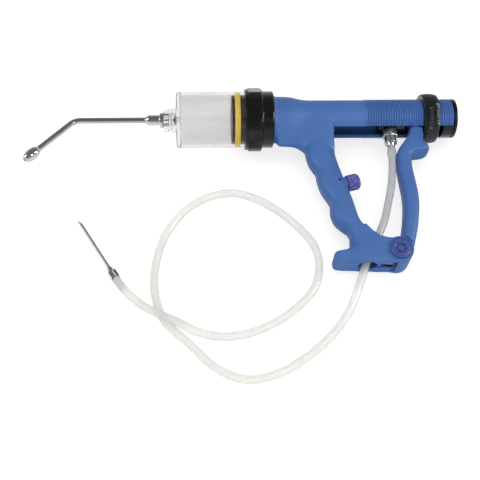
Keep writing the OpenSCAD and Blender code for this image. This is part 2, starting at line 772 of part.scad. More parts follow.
// What is cut from the lever: the nut's room, the slot's and the cheeks', the spring's pocket and two bores
module lever_cuts() {
    translate([dose_x - run_gap, -dose_r - relief_h / 2, -lever_w])
        cube([dose_len, dose_r + relief_h / 2, 2 * lever_w]);
    for (side = [-1, 1]) {
        translate([pivot_x, -pivot_drop, side * (hub_w / 2 + lever_w / 2)])
            cylinder(h = lever_w, r = boss_r + cheek_room, center = true);
        translate([slot_start, -tube_r - relief_h / 2, side * (neck_w / 2 + lever_w / 2) - lever_w / 2])
            cube([tube_len - slot_start, 2 * tube_r, lever_w]);
    }
    translate([pivot_x, -pivot_drop, 0]) cylinder(h = pocket_w, r = pocket_r, center = true);
    translate([pivot_x + coil_r - 2 * wire_d, -pivot_drop, -pocket_w / 2])
        cube([leg_end.x + wire_r + run_gap - pivot_x - coil_r + 2 * wire_d, lever_leg + wire_d, pocket_w]);
    translate([pivot_x, -pivot_drop, 0]) cylinder(h = 2 * lever_w, r = bolt_r + fit_gap, center = true);
    on_lever() translate([0, lever_arm, 0]) cylinder(h = 2 * lever_w, r = pin_r + fit_gap, center = true);
}

module drive_pin() {
    color(steel) on_lever() translate([0, lever_arm, 0]) cylinder(h = pin_len, r = pin_r, center = true);
}

hex_recess_af = 8.4;
hex_recess_t = 0.9;
module pivot_bolt() {
    color(purple) translate([pivot_x, -pivot_drop, 0]) difference() {
        union() {
            translate([0, 0, base_w / 2]) cylinder(h = bolt_head_t, r = bolt_head_r);
            translate([0, 0, -base_w / 2]) cylinder(h = base_w, r = bolt_r);
        }
        translate([0, 0, base_w / 2 + bolt_head_t - hex_recess_t])
            cylinder(h = hex_recess_t + overrun, r = hex_recess_af / sqrt(3), $fn = 6);
    }
}

module pivot_cap() {
    color(purple) translate([pivot_x, -pivot_drop, -base_w / 2 - bolt_head_t])
        cylinder(h = bolt_head_t, r = bolt_head_r);
}

// Return spring's centre line: leg on the web, coil, leg in the lever
function coil_rise(a) = coil_half * (2 * (a - coil_from) / (coil_to - coil_from) - 1);
function coil_point(a, z) = [pivot_x + coil_r * cos(a), -pivot_drop + coil_r * sin(a), z];
leg_end = coil_point(coil_to, coil_half) + lever_leg * [-sin(coil_to), cos(coil_to), 0];
coil_rings = ceil(coil_turns * coil_steps);
coil_path = [
    for (i = [0:coil_rings])
        let (a = coil_from + (coil_to - coil_from) * i / coil_rings)
        coil_point(a, coil_rise(a))
];
spring_path = concat(
    [[leg_start.x, leg_start.y, -coil_half], (coil_path[0] + [leg_start.x, leg_start.y, -coil_half]) / 2],
    coil_path,
    [(coil_path[coil_rings] + leg_end) / 2, leg_end]
);
wire_sides = 6;
// Least gap from the coil to itself, measured on points one turn and nearly one turn apart
gap_step = 15;
spring_gap = min([
    for (a = [coil_from:gap_step:coil_to - 360], b = [a + 360 - gap_step:gap_step:coil_to])
        norm(coil_point(a, coil_rise(a)) - coil_point(b, coil_rise(b))) - wire_d
]);
echo(spring_gap = spring_gap);

module return_spring() {
    color(steel) swept_tube(spring_path, wire_r, wire_sides);
}

module stop_knob() {
    color(purple) on_knob_axis() {
        bar(knob_gap, knob_len - knob_dome, knob_r);
        along_x(knob_gap + knob_len - knob_dome)
            cylinder(h = knob_dome, r1 = knob_r, r2 = knob_r - knob_dome);
        bar(-knob_screw_len, knob_screw_len + knob_gap, knob_screw_r);
    }
}

module stop_pin() {
    color(steel) stop_pin_spot() translate([0, 0, knob_screw_r + run_gap])
        cylinder(h = stop_pin_len, r = stop_pin_r);
}

// Dose nut: a ring with rounded corners that runs on the thread
corner_steps = 6;
module dose_nut() {
    color(black) along_x(dose_x) rotate_extrude() polygon(concat(
        [[dose_bore_r, 0]],
        [for (i = [0:corner_steps])
            let (a = 90 * i / corner_steps)
            [dose_r - dose_round + dose_round * sin(a), dose_round - dose_round * cos(a)]],
        [for (i = [0:corner_steps])
            let (a = 90 * i / corner_steps)
            [dose_r - dose_round + dose_round * cos(a), dose_len - dose_round + dose_round * sin(a)]],
        [[dose_bore_r, dose_len]]
    ));
}

// End cap: a rim, a plug in the bore and a tongue that closes the end of the slot
plug_len = 8;
module end_cap() {
    color(black) {
        bar(tube_len, cap_t, tube_r + thread_h);
        bar(tube_len - plug_len, plug_len, tube_bore_r - fit_gap);
        intersection() {
            bar(tube_len - plug_len, plug_len, tube_r);
            translate([tube_len - plug_len, -tube_r, -slot_w / 2 + fit_gap])
                cube([plug_len, tube_r, slot_w - 2 * fit_gap]);
        }
    }
}

module feed_hose_upper() {
    color(ivory) swept_tube(smooth_route(upper_route, hose_steps), hose_d / 2, hose_sides);
}

module feed_hose() {
    color(ivory) swept_tube(smooth_route(loop_route, hose_steps), hose_d / 2, hose_sides);
}

// Moves a shape drawn along X onto the needle's line
module on_needle() {
    translate(needle_at) rotate([0, 0, needle_bearing]) children();
}

needle_cone_x = needle_barb_len + needle_collar_len;
needle_root_x = needle_cone_x + needle_cone_len;
module needle_hub() {
    color(steel) on_needle() difference() {
        union() {
            bar(0, needle_barb_len, needle_barb_r);
            bar(needle_barb_len, needle_collar_len, collar_knurl_r);
            along_x(needle_cone_x) cylinder(h = needle_cone_len, r1 = needle_barb_r, r2 = needle_cone_r);
        }
        bar(needle_cone_x, needle_cone_len + overrun, needle_shank_r + fit_gap);
    }
}

// Needle: a thin shank in the hub, then the free length
module bottle_needle() {
    color(steel) on_needle() difference() {
        union() {
            bar(needle_cone_x, needle_cone_len + needle_shank_len, needle_shank_r);
            bar(needle_root_x + needle_shank_len, needle_len, needle_r);
        }
        bar(needle_cone_x - overrun, needle_root_x + needle_len + overrun, needle_bore_r);
    }
}

echo(rest_roll = rest_roll, rest_pitch = rest_pitch, rest_lift = rest_lift);
echo(stroke = stroke, lever_lean = lever_lean, lever_arm = lever_arm);

lay() gun_body();
lay() barrel();
lay() barrel_nut();
lay() barrel_gasket();
lay() nozzle_hub();
lay() nozzle_seal();
lay() nozzle_tube();
lay() nozzle_tip();
lay() outlet_valve();
lay() piston();
lay() piston_ring();
lay() inlet_valve();
lay() valve_cage();
lay() piston_rod();
lay() rod_bush();
lay() crosshead();
lay() inlet_fitting();
lay() fitting_washer();
lay() lever();
lay() drive_pin();
lay() pivot_bolt();
lay() pivot_cap();
lay() return_spring();
lay() stop_knob();
lay() stop_pin();
lay() dose_nut();
lay() end_cap();
feed_hose_upper();
feed_hose();
needle_hub();
bottle_needle();
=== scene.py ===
# Livestock drencher: the looks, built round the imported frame. Lengths are in metres.
# Most pieces are drawn in the gun's own frame: X back along the tube, Y up through the tube's top and
# Z out of its side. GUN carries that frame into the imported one.
import json
import math

import bmesh
import bpy
from mathutils import Matrix, Quaternion, Vector


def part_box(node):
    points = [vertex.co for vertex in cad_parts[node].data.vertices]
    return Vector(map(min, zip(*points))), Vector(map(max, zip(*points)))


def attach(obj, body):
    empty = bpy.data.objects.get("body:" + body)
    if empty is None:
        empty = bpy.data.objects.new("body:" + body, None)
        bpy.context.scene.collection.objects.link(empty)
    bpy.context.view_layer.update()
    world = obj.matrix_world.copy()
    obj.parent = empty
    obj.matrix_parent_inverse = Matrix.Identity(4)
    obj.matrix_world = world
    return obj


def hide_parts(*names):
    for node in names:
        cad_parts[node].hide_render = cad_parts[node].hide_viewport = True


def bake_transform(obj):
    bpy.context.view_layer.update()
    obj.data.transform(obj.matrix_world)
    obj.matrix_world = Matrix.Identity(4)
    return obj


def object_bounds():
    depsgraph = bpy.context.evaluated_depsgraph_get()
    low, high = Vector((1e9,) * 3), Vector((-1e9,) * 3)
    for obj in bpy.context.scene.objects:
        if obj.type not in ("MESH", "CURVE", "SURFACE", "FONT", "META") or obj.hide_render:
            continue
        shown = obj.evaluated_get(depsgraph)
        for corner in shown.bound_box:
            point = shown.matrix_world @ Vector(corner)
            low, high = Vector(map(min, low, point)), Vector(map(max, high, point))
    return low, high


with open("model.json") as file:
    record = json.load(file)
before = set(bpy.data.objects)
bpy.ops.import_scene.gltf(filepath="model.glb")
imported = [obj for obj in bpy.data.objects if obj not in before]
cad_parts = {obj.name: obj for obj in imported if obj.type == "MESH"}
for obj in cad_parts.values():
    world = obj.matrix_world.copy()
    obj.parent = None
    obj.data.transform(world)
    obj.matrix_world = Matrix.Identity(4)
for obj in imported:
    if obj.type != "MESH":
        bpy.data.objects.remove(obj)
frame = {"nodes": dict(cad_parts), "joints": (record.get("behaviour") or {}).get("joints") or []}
cad_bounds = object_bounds()

# Tube and body
TUBE_R = 0.015
BORE_R = 0.0124
TUBE_LEN = 0.142
COLLAR_R = 0.018
COLLAR_LEN = 0.0115
TAPER_LEN = 0.0115
SLOT_START = 0.0465
SLOT_W = 0.016
THREAD_START = 0.0715
THREAD_PITCH = 0.002
THREAD_H = 0.0006
THREAD_DEEP = 0.0006
THREAD_SINK = 0.0004
THREAD_EASE = 0.0001
THREAD_POWER = 0.55
THREAD_GAP = 0.02
SPIGOT_R = 0.0194
SPIGOT_LEN = 0.0115
SPIGOT_BORE_R = 0.0149
BUSH_END = 0.010

# Barrel, its nut and the nozzle
BARREL_R = 0.022
BARREL_WALL = 0.00225
BARREL_BACK = -0.0125
BARREL_FRONT = -0.0777
FRONT_PLATE = 0.003
NOSE_R = 0.0096
NOSE_LEN = 0.010
NOSE_BORE_R = 0.005
NOSE_RING = 0.004
NOSE_GROOVE = 0.002
NOSE_GROOVE_DEEP = 0.0012
PORT_R = 0.002
NUT_FLAT_R = 0.0238
NUT_CORNER_R = 0.0253
NUT_LIP_R = 0.0242
NUT_COLLAR_R = 0.0224
NUT_BACK = -0.0012
NUT_COLLAR_LEN = 0.0092
NUT_HEX_LEN = 0.0108
NUT_LIP_LEN = 0.0026
NUT_TURN = math.radians(12.7)
NOZZLE_R = 0.0023
NOZZLE_BORE_R = 0.0014
HUB_BACK = -0.0882
HUB_FLANGE_R = 0.006
HUB_FLANGE = 0.0026
HUB_R = 0.0042
HUB_LEN = 0.0088
HUB_CONE = 0.0028
HUB_PLUG = 0.0045
HUB_LIP = 0.0003
HOOK_X = -0.1577
HOOK_ANGLE = math.radians(45)
HOOK_BEND_R = 0.012
HOOK_DROP = 0.044
HOOK_STRAIGHT = 0.002
NOZZLE_IN = 0.004
OLIVE_R = 0.0046
OLIVE_LEN = 0.015
OLIVE_POWER = 0.8
OLIVE_LIP = 0.0003
OLIVE_MOUTH = 0.004

# Grip, base, lever and pivot
PIVOT_X = 0.085
PIVOT_DROP = 0.122
GRIP_W = 0.020
BASE_W = 0.021
CHANNEL_W = 0.0146
CHANNEL_BACK = 0.014
BOSS_R = 0.010
HOSE_WAY_R = 0.0064
LIP_FROM = 0.056
LIP_TO = 0.0795
LIP_T = 0.0016
LIP_GAP = 0.006
LIP_IN = 0.0003
LEVER_W = 0.0166
LEVER_NECK_R = 0.1132
LEVER_NECK_W = 0.0144
LEVER_HUB_R = 0.009
LEVER_HUB_W = 0.0138
SLEEVE_R = 0.01
SLEEVE_T = 0.0005
SLEEVE_FROM = -0.002
LEVER_LEAN = math.radians(11.997)
LEVER_ARM = 0.12268
TONGUE_R = 0.0042
TONGUE_W = 0.0076
BOLT_R = 0.0035
BOLT_HEAD_R = 0.0082
BOLT_HEAD = 0.0016
BOLT_RECESS_R = 0.0042
BOLT_RECESS = 0.0015
BOLT_POST_R = 0.0025
BOSS_RING = 0.0009
WIRE_R = 0.0008
COIL_R = 0.0086
COIL_PITCH = 0.0021
COIL_WRAPS = 4
LEVER_LEG = 0.016
LEG_TILT = math.radians(5)
WEB_AHEAD = 0.0185
WEB_LEN = 0.005
WEB_T = 0.0026
WEB_LIFT = 0.001
WEB_HALF = CHANNEL_W * 0.55

# Dose nut, end cap, stop knob, fitting, hose and needle
DOSE_X = 0.1172
DOSE_LEN = 0.0124
DOSE_R = 0.0198
DOSE_BORE_R = 0.01565
DOSE_ROUND = 0.0028
DOSE_EDGE = 0.0016
CAP_T = 0.0026
CAP_PLUG = 0.008
CAP_INSET = 0.0002
KNOB_LOW = 0.061
KNOB_FACE_X = 0.0511
KNOB_ANGLE = math.radians(14.5)
KNOB_GAP = 0.0016
KNOB_LEN = 0.0105
KNOB_R = 0.0064
KNOB_SCREW_R = 0.003
KNOB_SCREW_LEN = 0.014
KNOB_KNURL = 0.0009
KNOB_KNURL_PITCH = 0.0026
KNOB_BOSS_IN = 0.002
STOP_PIN_R = 0.0009
STOP_PIN_HOLE_R = 0.00105
STOP_PIN_BACK = 0.005
STOP_PIN_TOP = 0.0083
STOP_PIN_FOOT = 0.0033
FITTING_X = 0.0915
FITTING_TOP = 0.0089
FITTING_STEM = 0.005
FITTING_STEM_R = 0.0034
FITTING_FLAT_R = 0.0055
FITTING_HEX = 0.009
FITTING_NECK_R = 0.0048
FITTING_NECK = 0.0066
FITTING_BARB = 0.0024
FITTING_BARB_R = 0.0034
HOSE_R = 0.003
HOSE_DRIFT = 0.002
# Height at which the hose's painted shade is at its greyest
HOSE_SHADE_TOP = 0.019
HOSE_BULGE = 0.0009
HOSE_BULGE_AT = 0.0075
HOSE_BULGE_LEN = 0.0026
HOSE_OVER_BARB = 0.0022
HOSE_OVER_TAIL = 0.96
RING_LEN = 0.0044
RING_PRESS = 0.0003
RING_THICK = 0.0021
NEEDLE_AT = Vector((-0.0963, -0.0795, 0.004))
NEEDLE_BEARING = math.radians(120.5)
NEEDLE_R = 0.00105
NEEDLE_SLANT = math.radians(18)
NEEDLE_LEN = 0.050
NEEDLE_SHANK = 0.0005
NEEDLE_BARB = 0.005
NEEDLE_BARB_R = 0.0025
NEEDLE_TAIL = 0.006
NEEDLE_COLLAR = 0.007
NEEDLE_COLLAR_R = 0.0033
NEEDLE_CONE = 0.004
NEEDLE_CONE_R = 0.0016
NEEDLE_KNURL = 0.0003
NEEDLE_INSET = 0.0001

# Grip: each row is a level, its front edge, its rear edge and its width, as shares of the pivot's
# drop, of its distance back twice, and of the grip's width
GRIP_SHARES = [
    (0.150, 0.340, 0.526, 0.92), (0.205, 0.292, 0.530, 1), (0.222, 0.274, 0.530, 1),
    (0.246, 0.266, 0.531, 1), (0.287, 0.271, 0.535, 1),
    (0.344, 0.290, 0.549, 1), (0.385, 0.321, 0.562, 1), (0.416, 0.346, 0.572, 1),
    (0.451, 0.350, 0.585, 1), (0.495, 0.360, 0.600, 1), (0.547, 0.381, 0.620, 1),
    (0.596, 0.418, 0.640, 1), (0.634, 0.446, 0.653, 1), (0.658, 0.450, 0.660, 1),
    (0.700, 0.446, 0.673, 1), (0.741, 0.456, 0.684, 1), (0.776, 0.481, 0.698, 1),
    (0.806, 0.526, 0.718, 1), (0.829, 0.568, 0.742, 1), (0.856, 0.590, 0.778, 1),
    (0.881, 0.597, 0.822, 1), (0.910, 0.592, 0.890, 1), (0.930, 0.590, 0.910, 1),
    (0.958, 0.578, 0.915, 1), (0.978, 0.555, 0.915, 1), (0.993, 0.522, 0.915, 1),
    (1.001, 0.480, 0.915, 1), (1.005, 0.450, 0.915, 1), (1.014, 0.434, 0.915, 1),
    (1.040, 0.432, 0.915, 1), (1.057, 0.444, 0.915, 1), (1.062, 0.470, 0.915, 1),
]
# Base behind the finger notch: shares of the pivot's distance back and of its drop
BASE_SHARES = [(0.700, 0.930), (0.680, 1.020), (0.560, 1.036), (0.490, 1.046), (0.478, 1.0625)]
BASE_TOP_SHARES = [
    (0.940, 0.922), (0.900, 0.918), (0.860, 0.909), (0.825, 0.895), (0.790, 0.874),
    (0.758, 0.850), (0.730, 0.823), (0.700, 0.830),
]
# Web between tube and grip: how far back, how low it reaches, and the radii of its foot and its head
WEB_ROWS = [
    (0.0003, 0.0200, 0.0060, 0.0177), (0.0012, 0.0228, 0.0052, 0.0178), (0.0025, 0.0245, 0.0046, 0.0178),
    (0.0045, 0.0252, 0.0042, 0.0178), (0.0080, 0.0254, 0.0040, 0.0178), (0.0120, 0.0257, 0.0040, 0.0176),
    (0.0160, 0.0266, 0.0045, 0.0167), (0.0190, 0.0283, 0.0055, 0.0159), (0.0220, 0.0308, 0.0065, 0.0150),
    (0.0250, 0.0338, 0.0080, 0.0149), (0.0290, 0.0360, 0.0095, 0.0149), (0.0340, 0.0370, 0.0100, 0.0149),
    (0.0400, 0.0370, 0.0100, 0.0147), (0.0430, 0.0370, 0.0095, 0.0143), (0.0452, 0.0370, 0.0080, 0.0135),
]
CHANNEL_SHARES = [(0.835, 0.800), (0.605, 1.120)]
# Lever: a level, its front edge, its rear edge and its width, as shares in the same way
LEVER_SHARES = [
    (0.060, 1.282, 1.380, 0.86), (0.131, 1.250, 1.380, 0.86), (0.164, 1.226, 1.378, 0.92),
    (0.193, 1.199, 1.366, 0.97), (0.213, 1.178, 1.378, 1), (0.230, 1.158, 1.402, 1),
    (0.248, 1.138, 1.416, 1), (0.262, 1.126, 1.416, 1), (0.273, 1.119, 1.404, 1),
    (0.281, 1.115, 1.372, 1), (0.287, 1.112, 1.305, 1), (0.297, 1.109, 1.252, 1),
    (0.350, 1.100, 1.238, 1), (0.410, 1.099, 1.236, 1), (0.490, 1.104, 1.245, 1),
    (0.574, 1.110, 1.253, 1), (0.656, 1.106, 1.250, 1), (0.738, 1.091, 1.232, 1),
    (0.811, 1.070, 1.211, 1), (0.861, 1.052, 1.192, 1), (0.902, 1.034, 1.173, 1),
    (0.959, 0.996, 1.148, 1), (1.000, 0.960, 1.118, 1),
]
# How square the sections are, by level: 2 is an ellipse
GRIP_POWERS = [(0.150, 2.6), (0.700, 2.8), (0.960, 2.8), (0.993, 5), (1.005, 9), (1.062, 12)]
LEVER_POWERS = [(0, 9), (0.170, 7), (0.235, 5), (0.290, 4.5), (0.330, 2.8), (1, 2.8)]
# How much wider the grip is than its rows say, by level
FLARES = [(0.150, 0), (0.205, 0.05), (0.300, 0.03), (0.741, 0.03), (0.806, 0.05), (1.062, 0.05)]
NO_FLARES = [(0, 0), (1, 0)]

# Feed hose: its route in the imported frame, from the fitting through the base and on over the table
UPPER_ROUTE = [
    (0.1161, 0.0262, 0.0194), (0.1152, 0.012, 0.0185), (0.113, -0.003, 0.0179),
    (0.1105, -0.014, 0.0174), (0.1068, -0.027, 0.0166), (0.1028, -0.0395, 0.0159),
    (0.098, -0.050, 0.015), (0.092, -0.0615, 0.0135), (0.086, -0.073, 0.0115),
]
LOOP_ROUTE = [
    (0.0795, -0.089, 0.0074), (0.070, -0.109, 0.0042), (0.056, -0.127, 0.0031),
    (0.037, -0.143, 0.0031), (0.016, -0.1545, 0.0031), (-0.006, -0.158, 0.0031),
    (-0.027, -0.1485, 0.0031), (-0.044, -0.131, 0.0031), (-0.057, -0.118, 0.0031),
    (-0.065, -0.107, 0.0031), (-0.070, -0.089, 0.0031), (-0.0705, -0.070, 0.0031),
    (-0.067, -0.051, 0.0031), (-0.060, -0.033, 0.0031), (-0.047, -0.016, 0.0031),
    (-0.030, -0.005, 0.0031), (-0.011, -0.0015, 0.0031), (0.006, -0.007, 0.0031),
    (0.024, -0.0195, 0.0031), (0.0395, -0.036, 0.0031), (0.0495, -0.052, 0.0031),
    (0.052, -0.070, 0.0031), (0.047, -0.088, 0.0031), (0.034, -0.103, 0.0031),
    (0.016, -0.1155, 0.0031), (-0.003, -0.123, 0.0031), (-0.022, -0.125, 0.0034),
    (-0.040, -0.1215, 0.006), (-0.052, -0.1155, 0.0086), (-0.065, -0.109, 0.0094),
    (-0.078, -0.1005, 0.0074), (-0.088, -0.090, 0.0046), (-0.096, -0.080, 0.004),
]

# Gap where one piece sits in another, and how far a cutting tool goes past what it cuts
FIT_GAP = 0.00005
OVER = 0.001

# How fine the meshes are
TURNS = 112
ROUND_STEPS = 6
RING_SIDES = 72
WELD = 1e-6
SHARP = math.radians(38)
VOXEL = 0.00065

# The gun's frame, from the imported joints
joints = {joint["name"]: joint for joint in frame["joints"]}
pivot = Vector(joints["lever_squeeze"]["pos_m"])
side = Vector(joints["lever_squeeze"]["axis"]).normalized()
back = -Vector(joints["plunger_slide"]["axis"]).normalized()
up = side.cross(back)
GUN = Matrix((back, up, side)).transposed().to_4x4()
GUN.translation = pivot - back * PIVOT_X + up * PIVOT_DROP


def turn_z(angle):
    return Matrix.Rotation(angle, 4, "Z")


def shift(x, y, z):
    return Matrix.Translation((x, y, z))


# Turns that lay X down along the gun's -Y, or out along its Z
HANG = Matrix.Rotation(math.radians(-90), 4, "Z")
STAND = Matrix.Rotation(math.radians(-90), 4, "Y")
KNOB = GUN @ shift(KNOB_FACE_X, -KNOB_LOW, 0) @ turn_z(KNOB_ANGLE)
PIVOT = GUN @ shift(PIVOT_X, -PIVOT_DROP, 0)
FITTING = GUN @ shift(FITTING_X, -FITTING_TOP, 0) @ HANG
NEEDLE = Matrix.Translation(NEEDLE_AT) @ turn_z(NEEDLE_BEARING)


# The spring's legs and coil, as the CAD has them
WEB_X = PIVOT_X - WEB_AHEAD
WEB_TOP = PIVOT_DROP + BOSS_R - WEB_LIFT - WEB_T
LEG_START = Vector((WEB_LEN / 2 - WEB_AHEAD, PIVOT_DROP - WEB_TOP + WIRE_R))
COIL_FROM = math.atan2(LEG_START.y, LEG_START.x) + 2 * math.pi + math.acos(COIL_R / LEG_START.length)
COIL_TO = 2 * math.pi * COIL_WRAPS - LEG_TILT
COIL_HALF = (COIL_TO - COIL_FROM) / (2 * math.pi) * COIL_PITCH / 2


# Mesh making
def soften(obj):
    obj.data.shade_smooth()
    obj.data.set_sharp_from_angle(angle=SHARP)


def make(name, verts, faces, place):
    """A mesh object with welded points, outward faces and smooth shading."""
    shape = bmesh.new()
    points = [shape.verts.new(v) for v in verts]
    for face in faces:
        shape.faces.new([points[i] for i in face])
    bmesh.ops.remove_doubles(shape, verts=shape.verts, dist=WELD)
    bmesh.ops.dissolve_degenerate(shape, edges=shape.edges, dist=WELD)
    bmesh.ops.recalc_face_normals(shape, faces=shape.faces)
    shape.transform(place)
    mesh = bpy.data.meshes.new(name)
    shape.to_mesh(mesh)
    shape.free()
    obj = bpy.data.objects.new(name, mesh)
    bpy.context.scene.collection.objects.link(obj)
    soften(obj)
    return obj


def round_corners(outline):
    """A closed outline of (x, y, fillet) corners as (x, y) points, each fillet a smooth curve."""
    points = []
    count = len(outline)
    for i, (x, y, fillet) in enumerate(outline):
        corner = Vector((x, y))
        if not fillet:
            points.append((x, y))
            continue
        before = Vector(outline[i - 1][:2]) - corner
        after = Vector(outline[(i + 1) % count][:2]) - corner
        reach = min(fillet, before.length * 0.49, after.length * 0.49)
        start = corner + before.normalized() * reach
        end = corner + after.normalized() * reach
        for k in range(ROUND_STEPS + 1):
            t = k / ROUND_STEPS
            points.append(tuple(start * (1 - t) ** 2 + corner * 2 * t * (1 - t) + end * t * t))
    return points


def lathe(name, outline, place=GUN, turns=TURNS, ripple=None):
    """A closed outline of (along, radius, fillet) corners turned about X."""
    profile = round_corners(outline)
    count = len(profile)
    verts = []
    faces = []
    for i in range(turns):
        angle = 2 * math.pi * i / turns
        for x, r in profile:
            r_here = ripple(angle, x, r) if ripple else r
            verts.append((x, r_here * math.sin(angle), r_here * math.cos(angle)))
        for k in range(count):
            nxt, turn = (k + 1) % count, (i + 1) % turns
            faces.append((i * count + k, i * count + nxt, turn * count + nxt, turn * count + k))
    return make(name, verts, faces, place)


def bar(x, length, r, fillet=0):
    """The outline of a plain round bar along X."""
    return [(x, 0, 0), (x, r, fillet), (x + length, r, fillet), (x + length, 0, 0)]


def ring(x, length, r_out, r_in, fillet=0):
    """The outline of a round ring along X."""
    end = x + length
    return [(x, r_in, fillet), (x, r_out, fillet), (end, r_out, fillet), (end, r_in, fillet)]


def prism(name, outline, width, place=GUN):
    """A flat outline of (x, y) points, as thick as width about its plane."""
    count = len(outline)
    verts = [(x, y, -width / 2) for x, y in outline] + [(x, y, width / 2) for x, y in outline]
    faces = [tuple(range(count)), tuple(range(count, 2 * count))]
    faces += [(k, (k + 1) % count, count + (k + 1) % count, count + k) for k in range(count)]
    return make(name, verts, faces, place)


def block(name, low, high, place=GUN):
    outline = [(low[0], low[1]), (high[0], low[1]), (high[0], high[1]), (low[0], high[1])]
    return prism(name, outline, high[2] - low[2], place @ shift(0, 0, (low[2] + high[2]) / 2))


def smooth_curve(points, steps):
    """Points of a smooth curve through the given ones, of any dimension."""
    curve = []
    last = len(points) - 1
    for i in range(last):
        a, b = points[max(i - 1, 0)], points[i]
        c, d = points[i + 1], points[min(i + 2, last)]
        for k in range(steps):
            t = k / steps
            curve.append(tuple(
                q + t / 2 * (r - p) + t * t * (p - 2.5 * q + 2 * r - s / 2)
                + t ** 3 * (1.5 * (q - r) + (s - p) / 2)
                for p, q, r, s in zip(a, b, c, d)
            ))
    curve.append(tuple(points[last]))
    return curve


def skin(rings):
    """Faces that join equal rings of points, with a cap at each end."""
    sides = len(rings[0])
    faces = [tuple(range(sides)), tuple((len(rings) - 1) * sides + k for k in range(sides))]
    for i in range(len(rings) - 1):
        for k in range(sides):
            nxt = (k + 1) % sides
            faces.append((i * sides + k, i * sides + nxt, (i + 1) * sides + nxt, (i + 1) * sides + k))
    return faces


def sweep(name, path, radii, sides, place):
    """A round tube along a path, with a radius at each point."""
    path = [Vector(p) for p in path]
    last = len(path) - 1
    normal = None
    rings = []
    for i, (point, r) in enumerate(zip(path, radii)):
        ahead = (path[min(i + 1, last)] - path[max(i - 1, 0)]).normalized()
        if normal is None:
            normal = ahead.orthogonal()
        normal = (normal - ahead * normal.dot(ahead)).normalized()
        across = ahead.cross(normal)
        angles = [2 * math.pi * k / sides for k in range(sides)]
        rings.append([point + r * (normal * math.cos(a) + across * math.sin(a)) for a in angles])
    return make(name, [p for one in rings for p in one], skin(rings), place)


def between(rows, at):
    """The value at a level, in a table of levels and values."""
    for (low, a), (high, b) in zip(rows, rows[1:]):
        if at <= high:
            return a + (b - a) * max(0, at - low) / (high - low)
    return rows[-1][1]


def handle(name, shares, width, flares, powers):
    """A handle of squared-off ovals, one to a level, smooth from level to level."""
    rings = []
    for level, front, rear, wide in smooth_curve(shares, 4):
        wide += between(flares, level)
        power = between(powers, level)
        middle = PIVOT_X * (front + rear) / 2
        half = PIVOT_X * (rear - front) / 2
        section = []
        for k in range(RING_SIDES):
            c, s = math.cos(2 * math.pi * k / RING_SIDES), math.sin(2 * math.pi * k / RING_SIDES)
            x = middle + half * math.copysign(abs(c) ** (2 / power), c)
            z = width / 2 * wide * math.copysign(abs(s) ** (2 / power), s)
            section.append((x, -level * PIVOT_DROP, z))
        rings.append(section)
    return make(name, [p for one in rings for p in one], skin(rings), GUN)


def join(objs):
    """The first object takes in the meshes of the others."""
    shape = bmesh.new()
    for obj in objs:
        shape.from_mesh(obj.data)
    shape.to_mesh(objs[0].data)
    shape.free()
    for obj in objs[1:]:
        bpy.data.objects.remove(obj)
    return objs[0]


def bake(obj):
    """The object's mesh becomes what its modifiers make of it."""
    graph = bpy.context.evaluated_depsgraph_get()
    mesh = bpy.data.meshes.new_from_object(obj.evaluated_get(graph))
    obj.modifiers.clear()
    obj.data = mesh


def carve(obj, tools, operation="DIFFERENCE"):
    """Cuts each tool out of the object, adds it, or keeps what the two share."""
    for tool in tools:
        cut = obj.modifiers.new("carve", "BOOLEAN")
        cut.operation = operation
        cut.object = tool
        cut.solver = "MANIFOLD"
        bake(obj)
        bpy.data.objects.remove(tool)
    soften(obj)


def mould(obj, rounds):
    """Fuses overlapping solids into one skin and eases its edges, as moulding does."""
    remesh = obj.modifiers.new("fuse", "REMESH")
    remesh.mode = "VOXEL"
    remesh.voxel_size = VOXEL
    ease = obj.modifiers.new("ease", "SMOOTH")
    ease.factor = 0.5
    ease.iterations = rounds
    bake(obj)
    obj.data.shade_smooth()


def place_piece(obj, body, slot, finish, *nodes):
    """Gives a piece its material, the body that carries it and the nodes that it stands for."""
    obj.data.materials.clear()
    obj.data.materials.append(finish)
    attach(obj, body)
    if nodes:
        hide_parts(*nodes)


# Materials
def srgb(r, g, b):
    """A colour as a screen shows it, from 0 to 255, as the linear values that a shader takes."""
    linear = []
    for c in (r / 255, g / 255, b / 255):
        linear.append(c / 12.92 if c <= 0.04045 else ((c + 0.055) / 1.055) ** 2.4)
    return (*linear, 1)


def new_material(name):
    mat = bpy.data.materials.new(name)
    mat.use_nodes = True
    tree = mat.node_tree
    return mat, tree, tree.nodes["Principled BSDF"]


def noise(tree, scale, detail=3, stretch=(1, 1, 1)):
    """A noise pattern in the part's own lengths: scale is in cycles to the metre."""
    where = tree.nodes.new("ShaderNodeTexCoord")
    mapping = tree.nodes.new("ShaderNodeMapping")
    mapping.inputs["Scale"].default_value = stretch
    tree.links.new(where.outputs["Object"], mapping.inputs["Vector"])
    texture = tree.nodes.new("ShaderNodeTexNoise")
    texture.inputs["Scale"].default_value = scale
    texture.inputs["Detail"].default_value = detail
    tree.links.new(mapping.outputs["Vector"], texture.inputs["Vector"])
    return texture.outputs["Fac"]


def mottle(tree, shader, colour, spread, scale):
    """Lets the colour drift a little from place to place."""
    ramp = tree.nodes.new("ShaderNodeValToRGB")
    ramp.color_ramp.elements[0].position = 0.3
    ramp.color_ramp.elements[1].position = 0.7
    ramp.color_ramp.elements[0].color = (*[c * (1 - spread) for c in colour[:3]], 1)
    ramp.color_ramp.elements[1].color = (*[min(c * (1 + spread), 1) for c in colour[:3]], 1)
    tree.links.new(noise(tree, scale), ramp.inputs["Fac"])
    tree.links.new(ramp.outputs["Color"], shader.inputs["Base Color"])


